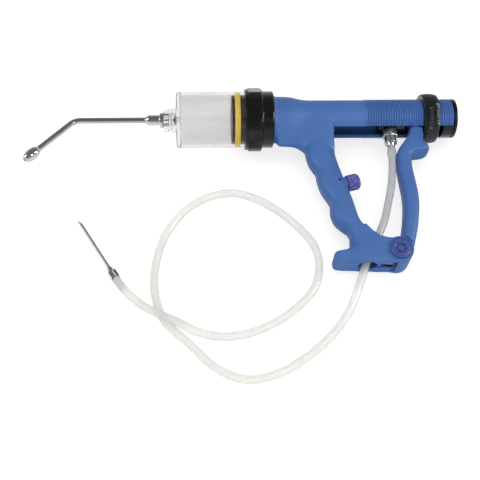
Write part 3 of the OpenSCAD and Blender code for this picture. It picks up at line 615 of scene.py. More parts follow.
def smudge(tree, shader, low, high, scale, stretch=(1, 1, 1)):
    """Lets the roughness wander between two values."""
    spread = tree.nodes.new("ShaderNodeMapRange")
    spread.inputs["From Min"].default_value = 0.3
    spread.inputs["From Max"].default_value = 0.7
    spread.inputs["To Min"].default_value = low
    spread.inputs["To Max"].default_value = high
    tree.links.new(noise(tree, scale, stretch=stretch), spread.inputs["Value"])
    tree.links.new(spread.outputs["Result"], shader.inputs["Roughness"])


def grain(tree, shader, scale, depth):
    """A fine relief, as deep as depth."""
    bump = tree.nodes.new("ShaderNodeBump")
    bump.inputs["Distance"].default_value = depth
    bump.inputs["Strength"].default_value = 0.6
    tree.links.new(noise(tree, scale, 2), bump.inputs["Height"])
    tree.links.new(bump.outputs["Normal"], shader.inputs["Normal"])


def plastic(name, colour, low, high, spread=0.06, relief=0.00003, gloss=0.32):
    mat, tree, shader = new_material(name)
    shader.inputs["Specular IOR Level"].default_value = gloss
    mottle(tree, shader, colour, spread, 38)
    smudge(tree, shader, low, high, 90)
    grain(tree, shader, 2600, relief)
    return mat


def metal(name, colour, low, high, streak):
    mat, tree, shader = new_material(name)
    shader.inputs["Metallic"].default_value = 1
    mottle(tree, shader, colour, 0.05, 60)
    smudge(tree, shader, low, high, 140, streak)
    return mat


BLUE = plastic("blue_moulding", srgb(67, 107, 170), 0.42, 0.54, 0.06, 0.00003, 0.2)
VIOLET = plastic("violet_moulding", srgb(84, 80, 164), 0.28, 0.4, 0.08, 0.00004, 0.5)
BLACK = plastic("black_moulding", srgb(13, 17, 16), 0.1, 0.18, 0.15, 0.000008, 0.26)
RUBBER = plastic("black_rubber", srgb(30, 30, 30), 0.55, 0.7, 0.1)
BOLT = plastic("bolt_moulding", srgb(60, 75, 148), 0.34, 0.46, 0.08, 0.00004)
KNURLED = plastic("knurled_black", srgb(13, 17, 16), 0.12, 0.2, 0.15, 0.00001, 0.36)
YELLOW = plastic("yellow_ring", srgb(226, 200, 77), 0.42, 0.55)
AMBER = plastic("amber_piston", srgb(40, 16, 4), 0.3, 0.42, 0.2, 0.00002, 0.15)
CHROME = metal("chrome", srgb(192, 192, 191), 0.04, 0.1, (1, 1, 1))
SATIN = metal("satin_chrome", srgb(178, 178, 173), 0.08, 0.15, (1, 5, 5))
STEEL = metal("steel", srgb(182, 182, 182), 0.2, 0.32, (1, 6, 6))
TURNED_STEEL = metal("turned_steel", srgb(132, 132, 132), 0.34, 0.46, (1, 6, 6))
# Painted shade: steel darkened and tinted navy, so the coil inside the base's channel looks as dark as
# the shade there.
SPRING_STEEL_SHADED = metal("spring_steel_shaded", srgb(70, 74, 88), 0.16, 0.3, (1, 6, 6))


def clear_plastic():
    """Clear, with a weak reflection and a light shadow."""
    mat, tree, shader = new_material("clear_plastic")
    mottle(tree, shader, srgb(230, 229, 229), 0.03, 30)
    smudge(tree, shader, 0.06, 0.11, 60)
    shader.inputs["Transmission Weight"].default_value = 1
    shader.inputs["IOR"].default_value = 1.47
    shader.inputs["Specular Tint"].default_value = (0.4, 0.4, 0.4, 1)
    rays = tree.nodes.new("ShaderNodeLightPath")
    solid = tree.nodes.new("ShaderNodeMapRange")
    solid.inputs["To Min"].default_value = 1
    solid.inputs["To Max"].default_value = 0.14
    tree.links.new(rays.outputs["Is Shadow Ray"], solid.inputs["Value"])
    tree.links.new(solid.outputs["Result"], shader.inputs["Alpha"])
    return mat


def hose_plastic():
    """Milky, with painted shade: greyer the higher it lies over the white table."""
    mat, tree, shader = new_material("hose_plastic")
    where = tree.nodes.new("ShaderNodeTexCoord")
    height = tree.nodes.new("ShaderNodeSeparateXYZ")
    tree.links.new(where.outputs["Object"], height.inputs["Vector"])
    drift = tree.nodes.new("ShaderNodeMapRange")
    drift.inputs["From Min"].default_value = 0.3
    drift.inputs["From Max"].default_value = 0.7
    drift.inputs["To Min"].default_value = -HOSE_DRIFT
    drift.inputs["To Max"].default_value = HOSE_DRIFT
    tree.links.new(noise(tree, 45), drift.inputs["Value"])
    level = tree.nodes.new("ShaderNodeMath")
    level.operation = "ADD"
    tree.links.new(height.outputs["Z"], level.inputs[0])
    tree.links.new(drift.outputs["Result"], level.inputs[1])
    share = tree.nodes.new("ShaderNodeMapRange")
    share.inputs["From Min"].default_value = -HOSE_DRIFT
    share.inputs["From Max"].default_value = HOSE_SHADE_TOP
    tree.links.new(level.outputs[0], share.inputs["Value"])
    # Painted shade: the colour runs from ivory near the table to grey higher up, standing in for the
    # dimmer light there.
    ramp = tree.nodes.new("ShaderNodeValToRGB")
    ramp.color_ramp.elements[0].position = 0.45
    ramp.color_ramp.elements[1].position = 0.9
    ramp.color_ramp.elements[0].color = srgb(243, 243, 237)
    ramp.color_ramp.elements[1].color = srgb(178, 179, 180)
    tree.links.new(share.outputs["Result"], ramp.inputs["Fac"])
    tree.links.new(ramp.outputs["Color"], shader.inputs["Base Color"])
    smudge(tree, shader, 0.22, 0.34, 80)
    grain(tree, shader, 500, 0.00002)
    shader.inputs["Subsurface Weight"].default_value = 0.5
    shader.inputs["Subsurface Radius"].default_value = (0.003, 0.003, 0.0028)
    shader.inputs["Subsurface Scale"].default_value = 1
    shader.inputs["Alpha"].default_value = 0.55
    return mat


CLEAR = clear_plastic()
HOSE = hose_plastic()


# Gun body
def spot(share):
    return (share[0] * PIVOT_X, -share[1] * PIVOT_DROP)


def arc(centre, r, start, end, steps):
    """Points of an arc, angles in degrees."""
    angles = [math.radians(start + (end - start) * k / steps) for k in range(steps + 1)]
    return [(centre[0] + r * math.cos(a), centre[1] + r * math.sin(a)) for a in angles]


def channel_tools():
    """The channel for lever and spring, and the sloping way for the hose in front of it."""
    top, foot = Vector(spot(CHANNEL_SHARES[0])), Vector(spot(CHANNEL_SHARES[1]))
    along = (foot - top).normalized()
    inset = Vector((-along.y, along.x)) * HOSE_WAY_R
    slope = GUN @ shift(*(top + inset), 0) @ turn_z(math.atan2(along.y, along.x))
    end = PIVOT_X + CHANNEL_BACK
    mouth = [tuple(top + inset), tuple(foot + inset), (end, foot.y), (end, top.y)]
    hose_way = lathe("hose_way", bar(0, (foot - top).length, HOSE_WAY_R), slope)
    return prism("channel", mouth, CHANNEL_W), hose_way


def underside():
    """The web that the spring's leg rests on, and two lips that narrow the channel's mouth."""
    low = (WEB_X, -WEB_TOP - WEB_T + WEB_LIFT, -WEB_HALF)
    web = block("web", low, (WEB_X + WEB_LEN, -WEB_TOP, WEB_HALF))
    toe = Vector(spot(BASE_SHARES[-1]))
    fall = (toe.y + PIVOT_DROP + BOSS_R) / (PIVOT_X - toe.x)
    left = toe.y - fall * (LIP_FROM - toe.x) + LIP_IN
    right = toe.y - fall * (LIP_TO - toe.x) + LIP_IN
    outline = [(LIP_FROM, left), (LIP_TO, right), (LIP_TO, right + LIP_T), (LIP_FROM, left + LIP_T)]
    wide = WEB_HALF - LIP_GAP / 2
    middle = LIP_GAP / 2 + wide / 2
    lips = [prism("lip", outline, wide, GUN @ shift(0, 0, way * middle)) for way in (-1, 1)]
    return [web] + lips


def tube_web():
    """A smooth web from the tube down to the grip. Each section wraps a large circle and a small one."""
    rings = []
    for x, reach, foot, head in smooth_curve(WEB_ROWS, 3):
        section = []
        for k in range(RING_SIDES):
            a = 2 * math.pi * k / RING_SIDES
            drop = reach - foot
            below = foot - drop * math.cos(a) > head
            r, low = (foot, drop) if below else (head, 0)
            section.append((x, r * math.cos(a) - low, r * math.sin(a)))
        rings.append(section)
    return make("tube_web", [p for one in rings for p in one], skin(rings), GUN)


def gun_body():
    groove = TUBE_R - THREAD_DEEP
    turned = lathe("gun_body_skin", [
        (-SPIGOT_LEN, 0, 0), (-SPIGOT_LEN, SPIGOT_R, 0), (0, SPIGOT_R, 0), (0, COLLAR_R, 0.001),
        (COLLAR_LEN, COLLAR_R, 0.006), (COLLAR_LEN + TAPER_LEN, TUBE_R, 0.008), (THREAD_START, TUBE_R, 0),
        (THREAD_START, groove, 0), (TUBE_LEN, groove, 0), (TUBE_LEN, 0, 0),
    ])
    grip = handle("grip", GRIP_SHARES, GRIP_W, FLARES, GRIP_POWERS)
    outline = [spot(s) for s in BASE_SHARES]
    outline += arc((PIVOT_X, -PIVOT_DROP), BOSS_R, -90, 90, 24)
    outline += [spot(s) for s in BASE_TOP_SHARES]
    body = join([turned, tube_web(), grip, prism("base", outline, BASE_W)])
    mould(body, 6)
    channel, hose_way = channel_tools()
    pin_place = KNOB @ shift(-STOP_PIN_BACK, 0, 0) @ STAND
    carve(body, [
        lathe("bore", bar(BUSH_END, TUBE_LEN, BORE_R)),
        lathe("spigot_bore", bar(-SPIGOT_LEN - OVER, SPIGOT_LEN + BUSH_END, SPIGOT_BORE_R)),
        block("slot", (SLOT_START, -TUBE_R - OVER, -SLOT_W / 2), (TUBE_LEN + OVER, 0, SLOT_W / 2)),
        lathe("stop_pin_hole", [
            (0, 0, 0), (0, STOP_PIN_HOLE_R, 0), (GRIP_W * 0.44, STOP_PIN_HOLE_R, 0),
            (GRIP_W * 0.6, STOP_PIN_HOLE_R * 2, 0), (GRIP_W * 0.6, 0, 0),
        ], pin_place, 32),
        lathe("bolt_hole", bar(-BASE_W, 2 * BASE_W, BOLT_R), PIVOT @ STAND, 48),
        lathe("knob_hole", bar(-KNOB_SCREW_LEN, 2 * KNOB_SCREW_LEN, KNOB_SCREW_R), KNOB, 48),
        channel,
    ])
    carve(body, underside(), "UNION")
    carve(body, [hose_way])
    place_piece(body, "gun", "blue_plastic", BLUE, "gun_body")


def thread():
    """Ridges round the tube, open over the slot."""
    ridges = int((TUBE_LEN - THREAD_START) / THREAD_PITCH)
    per_ridge = 8
    floor_r = TUBE_R - THREAD_DEEP
    root = floor_r - THREAD_SINK
    profile = [(THREAD_START, root)]
    for k in range(ridges * per_ridge + 1):
        wave = 0.5 - 0.5 * math.cos(2 * math.pi * k / per_ridge)
        rise = (THREAD_DEEP + THREAD_H - THREAD_EASE) * wave ** THREAD_POWER
        profile.append((THREAD_START + k * THREAD_PITCH / per_ridge, floor_r + rise))
    profile.append((THREAD_START + ridges * THREAD_PITCH, root))
    gap = math.asin(SLOT_W / 2 / TUBE_R) + THREAD_GAP
    steps = 120
    rings = []
    for i in range(steps + 1):
        angle = -math.pi / 2 + gap + (2 * math.pi - 2 * gap) * i / steps
        rings.append([(x, r * math.sin(angle), r * math.cos(angle)) for x, r in profile])
    ridged = make("dose_thread", [p for one in rings for p in one], skin(rings), GUN)
    place_piece(ridged, "gun", "blue_plastic", BLUE)


# Lever
def lever():
    body = handle("lever_skin", LEVER_SHARES, LEVER_W, NO_FLARES, LEVER_POWERS)
    mould(body, 16)
    carve(body, [lathe("neck", bar(-LEVER_W, 2 * LEVER_W, LEVER_NECK_R), PIVOT @ STAND)], "INTERSECT")
    hub = lathe("hub", bar(-LEVER_HUB_W / 2, LEVER_HUB_W, LEVER_HUB_R), PIVOT @ STAND)
    lean = PIVOT @ turn_z(-LEVER_LEAN)
    root = LEVER_NECK_R - 2 * TONGUE_R
    low, high = (-TONGUE_R / 4, root, -TONGUE_W / 2), (TONGUE_R, LEVER_ARM, TONGUE_W / 2)
    tongue = block("tongue", low, high, lean)
    eye = lathe("eye", bar(-TONGUE_W / 2, TONGUE_W, TONGUE_R), lean @ shift(0, LEVER_ARM, 0) @ STAND)
    carve(body, [hub, tongue, eye], "UNION")
    room = 0.0003
    relief = 0.002
    cheek_r = BOSS_R + 0.0026
    pocket = COIL_HALF + 2 * WIRE_R
    tools = [
        block("nut_room", (DOSE_X - room, -DOSE_R - relief, -LEVER_W), (DOSE_X + DOSE_LEN, 0, LEVER_W)),
        lathe("bolt_hole", bar(-LEVER_W, 2 * LEVER_W, BOLT_R), PIVOT @ STAND, 48),
        lathe("coil_pocket", bar(-pocket, 2 * pocket, COIL_R + 2 * WIRE_R), PIVOT @ STAND),
        block(
            "leg_pocket", (COIL_R - 3 * WIRE_R, 0, -pocket),
            (COIL_R + 4 * WIRE_R, LEVER_LEG + 2 * WIRE_R, pocket), PIVOT,
        ),
    ]
    for way in (-1, 1):
        inner, outer = way * LEVER_NECK_W / 2, way * LEVER_W
        tools.append(block(
            "slot_room",
            (SLOT_START, -TUBE_R - relief, min(inner, outer)),
            (TUBE_LEN, TUBE_R, max(inner, outer)),
        ))
        start = LEVER_HUB_W / 2 if way > 0 else -LEVER_HUB_W / 2 - LEVER_W
        tools.append(lathe("cheek_room", bar(start, LEVER_W, cheek_r), PIVOT @ STAND))
    carve(body, tools)
    tube = ring(-LEVER_HUB_W / 2, LEVER_HUB_W, SLEEVE_R, SLEEVE_R - SLEEVE_T)
    sleeve = lathe("sleeve", tube, PIVOT @ STAND)
    carve(sleeve, [block("leg_way", (-BASE_W, -BASE_W, -BASE_W), (SLEEVE_FROM, BASE_W, BASE_W), PIVOT)])
    carve(body, [sleeve], "UNION")
    place_piece(body, "lever", "blue_plastic", BLUE, "lever")


# Barrel nut
def hexagon(flat_r, corner_r, turn):
    """Gives the radius, by angle, of a hexagon with rounded corners."""
    def radius(angle):
        off = (angle - turn) % (math.pi / 3) - math.pi / 6
        return min(corner_r, flat_r / math.cos(off))
    return radius


def barrel_nut():
    hex_x = NUT_BACK - NUT_COLLAR_LEN - NUT_HEX_LEN
    hex_end = hex_x + NUT_HEX_LEN
    front = hex_x - NUT_LIP_LEN
    flats = hexagon(NUT_FLAT_R, NUT_CORNER_R, NUT_TURN)

    def shape(angle, x, r):
        if r <= NUT_LIP_R:
            return r
        return flats(angle) - (NUT_CORNER_R - r)

    outline = [
        (front, BARREL_R, 0), (front, NUT_LIP_R, 0.0008), (hex_x, NUT_LIP_R, 0),
        (hex_x, NUT_CORNER_R, 0.0009), (hex_end, NUT_CORNER_R, 0.0018),
        (hex_end, NUT_COLLAR_R, 0.0008), (NUT_BACK, NUT_COLLAR_R, 0.0046), (NUT_BACK, SPIGOT_R, 0),
        (-SPIGOT_LEN, SPIGOT_R, 0), (-SPIGOT_LEN, BARREL_R, 0),
    ]
    nut = lathe("barrel_nut_skin", outline, GUN, 240, shape)
    place_piece(nut, "gun", "black_plastic", BLACK, "barrel_nut")


def barrel():
    nose_front = BARREL_FRONT - NOSE_LEN
    groove = nose_front + NOSE_RING
    inner = BARREL_R - BARREL_WALL
    outline = [
        (nose_front, NOSE_BORE_R, 0.0004), (nose_front, NOSE_R, 0.0008), (groove, NOSE_R, 0.0008),
        (groove, NOSE_R - NOSE_GROOVE_DEEP, 0.0004),
        (groove + NOSE_GROOVE, NOSE_R - NOSE_GROOVE_DEEP, 0.0004), (groove + NOSE_GROOVE, NOSE_R, 0.0008),
        (BARREL_FRONT, NOSE_R, 0.0006), (BARREL_FRONT, BARREL_R, 0.0016), (BARREL_BACK, BARREL_R, 0),
        (BARREL_BACK, inner, 0), (BARREL_FRONT + FRONT_PLATE, inner, 0.001),
        (BARREL_FRONT + FRONT_PLATE, PORT_R, 0), (BARREL_FRONT, PORT_R, 0),
        (BARREL_FRONT, NOSE_BORE_R, 0),
    ]
    tube = lathe("barrel_skin", outline, GUN, 160)
    place_piece(tube, "gun", "clear_plastic", CLEAR, "barrel")


def piston_ring():
    """The ring is pressed into the barrel's wall, so it is seen across the barrel's whole width."""
    low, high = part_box("piston_ring")
    middle = (GUN.inverted() @ ((Vector(low) + Vector(high)) / 2)).x
    start = middle - RING_LEN / 2
    r_out = BARREL_R - BARREL_WALL + RING_PRESS
    shaped = lathe("piston_ring_skin", ring(start, RING_LEN, r_out, r_out - RING_THICK, 0.0009), GUN, 160)
    place_piece(shaped, "plunger", "yellow_rubber", YELLOW, "piston_ring")


# Nozzle
def nozzle():
    flange_x = HUB_BACK - HUB_FLANGE
    hub_x = flange_x - HUB_LEN
    hub = lathe("nozzle_hub_skin", [
        (HUB_BACK + HUB_PLUG, 0, 0), (HUB_BACK + HUB_PLUG, NOSE_BORE_R - FIT_GAP, 0.0003),
        (HUB_BACK, NOSE_BORE_R - FIT_GAP, 0), (HUB_BACK, HUB_FLANGE_R, 0.0005),
        (flange_x, HUB_FLANGE_R, 0.0005), (flange_x, HUB_R, 0.0004), (hub_x, HUB_R, 0.0007),
        (hub_x - HUB_CONE, NOZZLE_R + HUB_LIP, 0.0003), (hub_x - HUB_CONE, 0, 0),
    ])
    place_piece(hub, "gun", "chrome", CHROME, "nozzle_hub")

    tangent = HOOK_BEND_R * math.tan(HOOK_ANGLE / 2)
    bend_x = HOOK_X + tangent
    path = [(hub_x + NOZZLE_IN, 0, 0), (bend_x + HOOK_STRAIGHT, 0, 0)]
    bend_steps = 20
    for k in range(bend_steps + 1):
        a = HOOK_ANGLE * k / bend_steps
        path.append((bend_x - HOOK_BEND_R * math.sin(a), HOOK_BEND_R * (math.cos(a) - 1), 0))
    slant = Vector((-math.cos(HOOK_ANGLE), -math.sin(HOOK_ANGLE), 0))
    path.append(tuple(Vector((HOOK_X, 0, 0)) + slant * (tangent + HOOK_STRAIGHT)))
    path.append(tuple(Vector((HOOK_X, 0, 0)) + slant * HOOK_DROP))
    tube = sweep("nozzle_tube_skin", path, [NOZZLE_R] * len(path), 64, GUN)
    place_piece(tube, "gun", "chrome", SATIN, "nozzle_tube")

    half = OLIVE_LEN / 2
    outline = [(half, 0, 0)]
    steps = 40
    for k in range(1, steps):
        a = math.pi * k / steps
        outline.append((half * math.cos(a), max(OLIVE_R * math.sin(a) ** OLIVE_POWER, NOZZLE_BORE_R), 0))
    outline += [
        (-half + OLIVE_LIP, NOZZLE_BORE_R, 0), (-half + OLIVE_MOUTH, NOZZLE_BORE_R, 0),
        (-half + OLIVE_MOUTH, 0, 0),
    ]
    tip_place = GUN @ shift(HOOK_X, 0, 0) @ turn_z(HOOK_ANGLE) @ shift(-HOOK_DROP, 0, 0)
    tip = lathe("nozzle_tip_skin", outline, tip_place)
    place_piece(tip, "gun", "chrome", CHROME, "nozzle_tip")


# Dose nut and end cap
def dose_nut():
    ridges = 64
    deep = 0.0003
    crown = 0.0009

    def shape(angle, x, r):
        if r < DOSE_R - DOSE_ROUND:
            return r
        wave = 0.5 + 0.5 * math.cos(ridges * angle)
        return r - deep * wave ** 2

    end = DOSE_X + DOSE_LEN
    outline = [(DOSE_X, DOSE_BORE_R, 0), (DOSE_X, DOSE_R - crown, DOSE_EDGE)]
    steps = 8
    for k in range(1, steps):
        across = 2 * k / steps - 1
        outline.append((DOSE_X + DOSE_LEN * k / steps, DOSE_R - crown * across ** 2, 0))
    outline += [(end, DOSE_R - crown, DOSE_EDGE), (end, DOSE_BORE_R, 0)]
    nut = lathe("dose_nut_skin", outline, GUN, 512, shape)
    place_piece(nut, "dose_nut", "black_plastic", KNURLED, "dose_nut")


def end_cap():
    rim = lathe("end_cap_skin", bar(TUBE_LEN, CAP_T, TUBE_R + THREAD_H, 0.0009))
    plug = lathe("plug", bar(TUBE_LEN - CAP_PLUG, CAP_PLUG, BORE_R - FIT_GAP))
    tongue = lathe("tongue", bar(TUBE_LEN - CAP_PLUG, CAP_PLUG, TUBE_R - CAP_INSET))
    half = SLOT_W / 2 - FIT_GAP
    carve(tongue, [
        block("keep", (TUBE_LEN - CAP_PLUG - OVER, -2 * TUBE_R, -half), (TUBE_LEN + OVER, 0, half))
    ], "INTERSECT")
    cap = join([rim, plug, tongue])
    soften(cap)
    place_piece(cap, "gun", "black_plastic", BLACK, "end_cap")


# Pivot, spring and stop knob
def pivot_pieces():
    recess = hexagon(BOLT_RECESS_R, BOLT_RECESS_R * 1.1, 0)
    top = BASE_W / 2 + BOLT_HEAD

    def shape(angle, x, r):
        if x > BASE_W / 2 and BOLT_POST_R < r <= BOLT_RECESS_R:
            return recess(angle) - (BOLT_RECESS_R - r)
        return r

    bolt = lathe("pivot_bolt_skin", [
        (-BASE_W / 2, 0, 0), (-BASE_W / 2, BOLT_R, 0), (BASE_W / 2, BOLT_R, 0),
        (BASE_W / 2, BOLT_HEAD_R, 0.0003), (top - 0.0004, BOLT_HEAD_R, 0.0005),
        (top - 0.0004, BOLT_HEAD_R - 0.0014, 0.0002),
        (top, BOLT_HEAD_R - 0.0016, 0.0003), (top, BOLT_RECESS_R, 0.0002),
        (top - BOLT_RECESS, BOLT_RECESS_R - 0.0003, 0.0002), (top - BOLT_RECESS, BOLT_POST_R, 0.0002),
        (top - BOLT_RECESS * 0.3, BOLT_POST_R - 0.0002, 0.0003), (top - BOLT_RECESS * 0.3, 0, 0),
    ], PIVOT @ STAND, 144, shape)
    place_piece(bolt, "gun", "purple_plastic", BOLT, "pivot_bolt")
    for way in (-1, 1):
        foot = way * BASE_W / 2 - BOSS_RING
        rim = ring(foot, 2 * BOSS_RING, BOSS_R - 0.0002, BOLT_HEAD_R + 0.0006, 0.0004)
        collar = lathe("boss_ring_near" if way > 0 else "boss_ring_far", rim, PIVOT @ STAND)
        place_piece(collar, "gun", "blue_plastic", BLUE)
    cap = lathe("pivot_cap_skin", bar(-top, BOLT_HEAD, BOLT_HEAD_R, 0.0004), PIVOT @ STAND)
    place_piece(cap, "gun", "purple_plastic", BOLT, "pivot_cap")


def return_spring():
    """A leg on the base's web, a coil about the bolt and a leg inside the lever."""
    steps = 150
    path = [(LEG_START.x, LEG_START.y, -COIL_HALF)]
    for k in range(steps + 1):
        a = COIL_FROM + (COIL_TO - COIL_FROM) * k / steps
        path.append((COIL_R * math.cos(a), COIL_R * math.sin(a), COIL_HALF * (2 * k / steps - 1)))
    leg = Vector((-math.sin(COIL_TO), math.cos(COIL_TO), 0)) * LEVER_LEG
    path.append(tuple(Vector(path[-1]) + leg))
    wire = sweep("return_spring_wire", path, [WIRE_R] * len(path), 16, PIVOT)
    wire.data.materials.append(SPRING_STEEL_SHADED)
    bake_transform(wire)
    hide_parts("return_spring")


def stop_knob():
    teeth = 16
    end = KNOB_GAP + KNOB_LEN
    lean = 2 * math.pi / KNOB_KNURL_PITCH

    def shape(angle, x, r):
        if r < KNOB_R - 0.0012:
            return r
        across, along = teeth * angle / 2, lean * x / 2
        return r - KNOB_KNURL * abs(math.cos(across + along) * math.cos(across - along))

    rows = 24
    low, high = KNOB_GAP + 0.0006, end - 0.0024
    outline = [
        (-KNOB_SCREW_LEN, 0, 0), (-KNOB_SCREW_LEN, KNOB_SCREW_R, 0.0005), (KNOB_GAP, KNOB_SCREW_R, 0),
        (KNOB_GAP, KNOB_R - 0.0006, 0),
    ]
    outline += [(low + (high - low) * k / rows, KNOB_R, 0) for k in range(rows + 1)]
    outline += [(end - 0.0007, KNOB_R - 0.0011, 0.0012), (end, KNOB_R - 0.0032, 0.001), (end, 0, 0)]
    knob = lathe("stop_knob_skin", outline, KNOB, 264, shape)
    place_piece(knob, "stop_knob", "purple_plastic", VIOLET, "stop_knob")
    boss_len = KNOB_BOSS_IN + KNOB_GAP * 0.7
    rim = ring(-KNOB_BOSS_IN, boss_len, KNOB_R - 0.0008, KNOB_SCREW_R + 0.0002, 0.0004)
    boss = lathe("knob_boss", rim, KNOB)
    place_piece(boss, "gun", "blue_plastic", BLUE)
    place = KNOB @ shift(-STOP_PIN_BACK, 0, 0) @ STAND
    outline = bar(STOP_PIN_FOOT, STOP_PIN_TOP - STOP_PIN_FOOT, STOP_PIN_R, 0.0002)
    pin = lathe("stop_pin_skin", outline, place, 32)
    place_piece(pin, "gun", "steel", STEEL, "stop_pin")


# Fitting, hose and needle
def inlet_fitting():
    flats = hexagon(FITTING_FLAT_R, FITTING_FLAT_R * 1.12, 0)

    def shape(angle, x, r):
        if 0 < x < FITTING_HEX and r > FITTING_NECK_R:
            return flats(angle) - (FITTING_FLAT_R - r)
        return r

    neck_end = FITTING_HEX + FITTING_NECK
    fitting = lathe("inlet_fitting_skin", [
        (-FITTING_STEM, 0, 0), (-FITTING_STEM, FITTING_STEM_R, 0), (0, FITTING_STEM_R, 0),
        (0, FITTING_FLAT_R, 0.0003),
        (FITTING_HEX, FITTING_FLAT_R, 0.0006), (FITTING_HEX, FITTING_NECK_R, 0.0002),
        (neck_end, FITTING_NECK_R, 0.0008), (neck_end, FITTING_BARB_R, 0.0002),
        (neck_end + FITTING_BARB, HOSE_R * 0.9, 0.0002), (neck_end + FITTING_BARB, 0, 0),
    ], FITTING, 120, shape)
    place_piece(fitting, "plunger", "steel", STEEL, "inlet_fitting")


def needle():
    collar_end = NEEDLE_BARB + NEEDLE_COLLAR
    root = collar_end + NEEDLE_CONE
    teeth = 28

    def knurl(angle, x, r):
        if r < NEEDLE_COLLAR_R - 0.0005:
            return r
        return r - NEEDLE_KNURL * (0.5 + 0.5 * math.cos(teeth * angle))

    outline = [(-NEEDLE_TAIL, 0, 0)]
    barbs = 7
    step = (NEEDLE_BARB + NEEDLE_TAIL) / barbs
    for k in range(barbs):
        outline.append((k * step - NEEDLE_TAIL, NEEDLE_BARB_R * 0.7, 0))
        outline.append((k * step - NEEDLE_TAIL + step * 0.8, NEEDLE_BARB_R, 0))
    outline += [
        (NEEDLE_BARB, NEEDLE_BARB_R * 0.75, 0), (NEEDLE_BARB, NEEDLE_COLLAR_R, 0.0006),
        (collar_end, NEEDLE_COLLAR_R, 0.0006), (collar_end, NEEDLE_CONE_R * 1.3, 0.0002),
        (root, NEEDLE_CONE_R, 0.0002), (root, 0, 0),
    ]
    hub = lathe("needle_hub_skin", outline, NEEDLE, 168, knurl)
    place_piece(hub, "gun", "steel", TURNED_STEEL, "needle_hub")
    start = root - NEEDLE_CONE
    free = root + NEEDLE_SHANK
    shaft = lathe("bottle_needle_skin", [
        (start, 0, 0), (start, NEEDLE_R - NEEDLE_INSET, 0), (free, NEEDLE_R - NEEDLE_INSET, 0),
        (free, NEEDLE_R, 0), (free + NEEDLE_LEN, NEEDLE_R, 0), (free + NEEDLE_LEN, 0, 0),
    ], NEEDLE, 40)
    slant = NEEDLE @ shift(free + NEEDLE_LEN, NEEDLE_R, 0) @ turn_z(NEEDLE_SLANT)
    carve(shaft, [block("slant", (-0.02, -0.02, -0.005), (0.02, 0, 0.005), slant)])
    place_piece(shaft, "gun", "steel", TURNED_STEEL, "bottle_needle")
    return hub, shaft


def feed_hose(far_pieces):
    """One tube from fitting to needle."""
    route = smooth_curve(UPPER_ROUTE + LOOP_ROUTE, 8)
    over_barb = tuple(Vector(route[0]) + up * HOSE_OVER_BARB)
    path = [over_barb] + route + [tuple(NEEDLE @ Vector((NEEDLE_BARB * HOSE_OVER_TAIL, 0, 0)))]
    run = 0
    radii = []
    for i, point in enumerate(path):
        run += (Vector(point) - Vector(path[i - 1])).length if i else 0
        radii.append(HOSE_R + HOSE_BULGE * math.exp(-((run - HOSE_BULGE_AT) / HOSE_BULGE_LEN) ** 2))
    hose = sweep("feed_hose_tube", path, radii, 24, Matrix.Identity(4))
    hose.data.materials.append(HOSE)
    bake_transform(hose)
    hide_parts("feed_hose_upper", "feed_hose")


# Camera, floor and light
FLOOR_SIZE = 40
FLOOR_DROP = 0.0002
FLOOR_LEVEL = 0.42
FLOOR_GLOW = 0.72
EYE = Vector((-0.0182, -0.3828, 0.5548))
ELEVATION = math.radians(58.5)
AZIMUTH = math.radians(2.03)
ROLL = math.radians(-0.22)
FOCAL_SHARE = 1.775
SENSOR = 36


def camera():
    lens = bpy.data.cameras.new("camera")
    lens.sensor_width = SENSOR
    lens.lens = SENSOR * FOCAL_SHARE
    eye = bpy.data.objects.new("camera", lens)
    flat = math.cos(ELEVATION)
    ahead = Vector((flat * math.sin(AZIMUTH), flat * math.cos(AZIMUTH), -math.sin(ELEVATION)))
    eye.location = EYE
    eye.rotation_euler = (ahead.to_track_quat("-Z", "Y") @ Quaternion((0, 0, 1), ROLL)).to_euler()
    bpy.context.scene.collection.objects.link(eye)
    bpy.context.scene.camera = eye


def seen_directly(tree):
    """1 where the camera sees a surface straight, in a mirror or through glass."""
    rays = tree.nodes.new("ShaderNodeLightPath")
    total = rays.outputs["Is Camera Ray"]
    for name in ("Is Glossy Ray", "Is Transmission Ray"):
        add = tree.nodes.new("ShaderNodeMath")
        add.operation = "MAXIMUM"
        tree.links.new(total, add.inputs[0])
        tree.links.new(rays.outputs[name], add.inputs[1])
        total = add.outputs[0]
    return total


def floor():
    bpy.ops.mesh.primitive_plane_add(size=FLOOR_SIZE, location=(0, 0, cad_bounds[0][2] - FLOOR_DROP))
    plane = bpy.context.object
    plane.name = "floor"
    mat, tree, shader = new_material("floor")
    shader.inputs["Base Color"].default_value = (FLOOR_LEVEL, FLOOR_LEVEL, FLOOR_LEVEL, 1)
    shader.inputs["Roughness"].default_value = 0.9
    shader.inputs["Specular IOR Level"].default_value = 0
    shader.inputs["Emission Color"].default_value = (1, 1, 1, 1)
    glow = tree.nodes.new("ShaderNodeMath")
    glow.operation = "MULTIPLY"
    glow.inputs[1].default_value = FLOOR_GLOW
    tree.links.new(seen_directly(tree), glow.inputs[0])
    tree.links.new(glow.outputs[0], shader.inputs["Emission Strength"])
    plane.data.materials.append(mat)


def lamp(name, size, energy, location, mirrored, target=(0, 0, 0)):
    """A soft lamp that lights surfaces, or a mirrored one that shows only as a gleam in gloss."""
    light = bpy.data.lights.new(name, "AREA")
    light.shape = "RECTANGLE"
    light.size, light.size_y = size
    light.energy = energy
    obj = bpy.data.objects.new(name, light)
    obj.location = location
    obj.rotation_euler = (Vector(target) - Vector(location)).to_track_quat("-Z", "Y").to_euler()
    obj.visible_glossy = mirrored
    obj.visible_diffuse = not mirrored
    bpy.context.scene.collection.objects.link(obj)


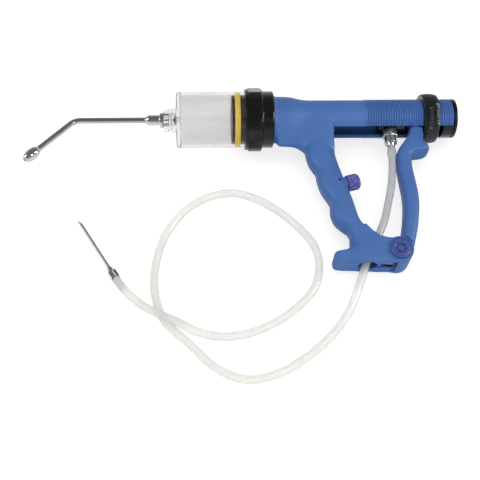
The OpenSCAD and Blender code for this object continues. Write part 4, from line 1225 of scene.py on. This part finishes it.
# How bright the sky is, from the horizon at 0 to straight above at 1
SKY_BANDS = [(0.0, 0.95), (0.2, 0.8), (0.45, 0.36), (0.75, 0.26), (1.0, 0.2)]


def lights():
    world = bpy.data.worlds.new("studio")
    bpy.context.scene.world = world
    world.use_nodes = True
    sky = world.node_tree.nodes["Background"]
    where = world.node_tree.nodes.new("ShaderNodeTexCoord")
    height = world.node_tree.nodes.new("ShaderNodeSeparateXYZ")
    bands = world.node_tree.nodes.new("ShaderNodeValToRGB")
    steps = bands.color_ramp.elements
    while len(steps) < len(SKY_BANDS):
        steps.new(0.5)
    for step, (at, level) in zip(steps, SKY_BANDS):
        step.position = at
        step.color = (level, level, level, 1)
    world.node_tree.links.new(where.outputs["Generated"], height.inputs["Vector"])
    world.node_tree.links.new(height.outputs["Z"], bands.inputs["Fac"])
    world.node_tree.links.new(bands.outputs["Color"], sky.inputs["Color"])
    lamp("key", (1.4, 1.4), 10.5, (0.05, 0.1, 1.2), False)
    lamp("fill", (1.2, 0.6), 5.6, (0.0, -1.0, 0.5), False)
    lamp("right_strip", (0.14, 0.7), 18, (1.0, -0.1, 0.6), True)
    lamp("left_strip", (0.14, 0.7), 6, (-1.0, 0.0, 0.6), True)
    lamp("rear_panel", (0.16, 0.12), 0.7, (0.3, -0.38, 0.555), True, (0.12, 0.05, 0.03))


# Nodes that keep their own shape and take a finer material
KEPT = {
    "barrel_gasket": RUBBER, "nozzle_seal": RUBBER, "outlet_valve": RUBBER, "inlet_valve": RUBBER,
    "fitting_washer": RUBBER, "piston": AMBER, "valve_cage": BLACK, "piston_rod": STEEL,
    "rod_bush": BLACK, "crosshead": BLACK, "drive_pin": STEEL,
}


def dress_kept_nodes():
    for name, finish in KEPT.items():
        node = frame["nodes"][name]
        node.data.materials.clear()
        node.data.materials.append(finish)


bpy.context.scene.view_settings.view_transform = "Standard"
camera()
floor()
lights()
gun_body()
thread()
lever()
barrel_nut()
barrel()
piston_ring()
nozzle()
dose_nut()
end_cap()
pivot_pieces()
return_spring()
stop_knob()
inlet_fitting()
feed_hose(needle())
dress_kept_nodes()
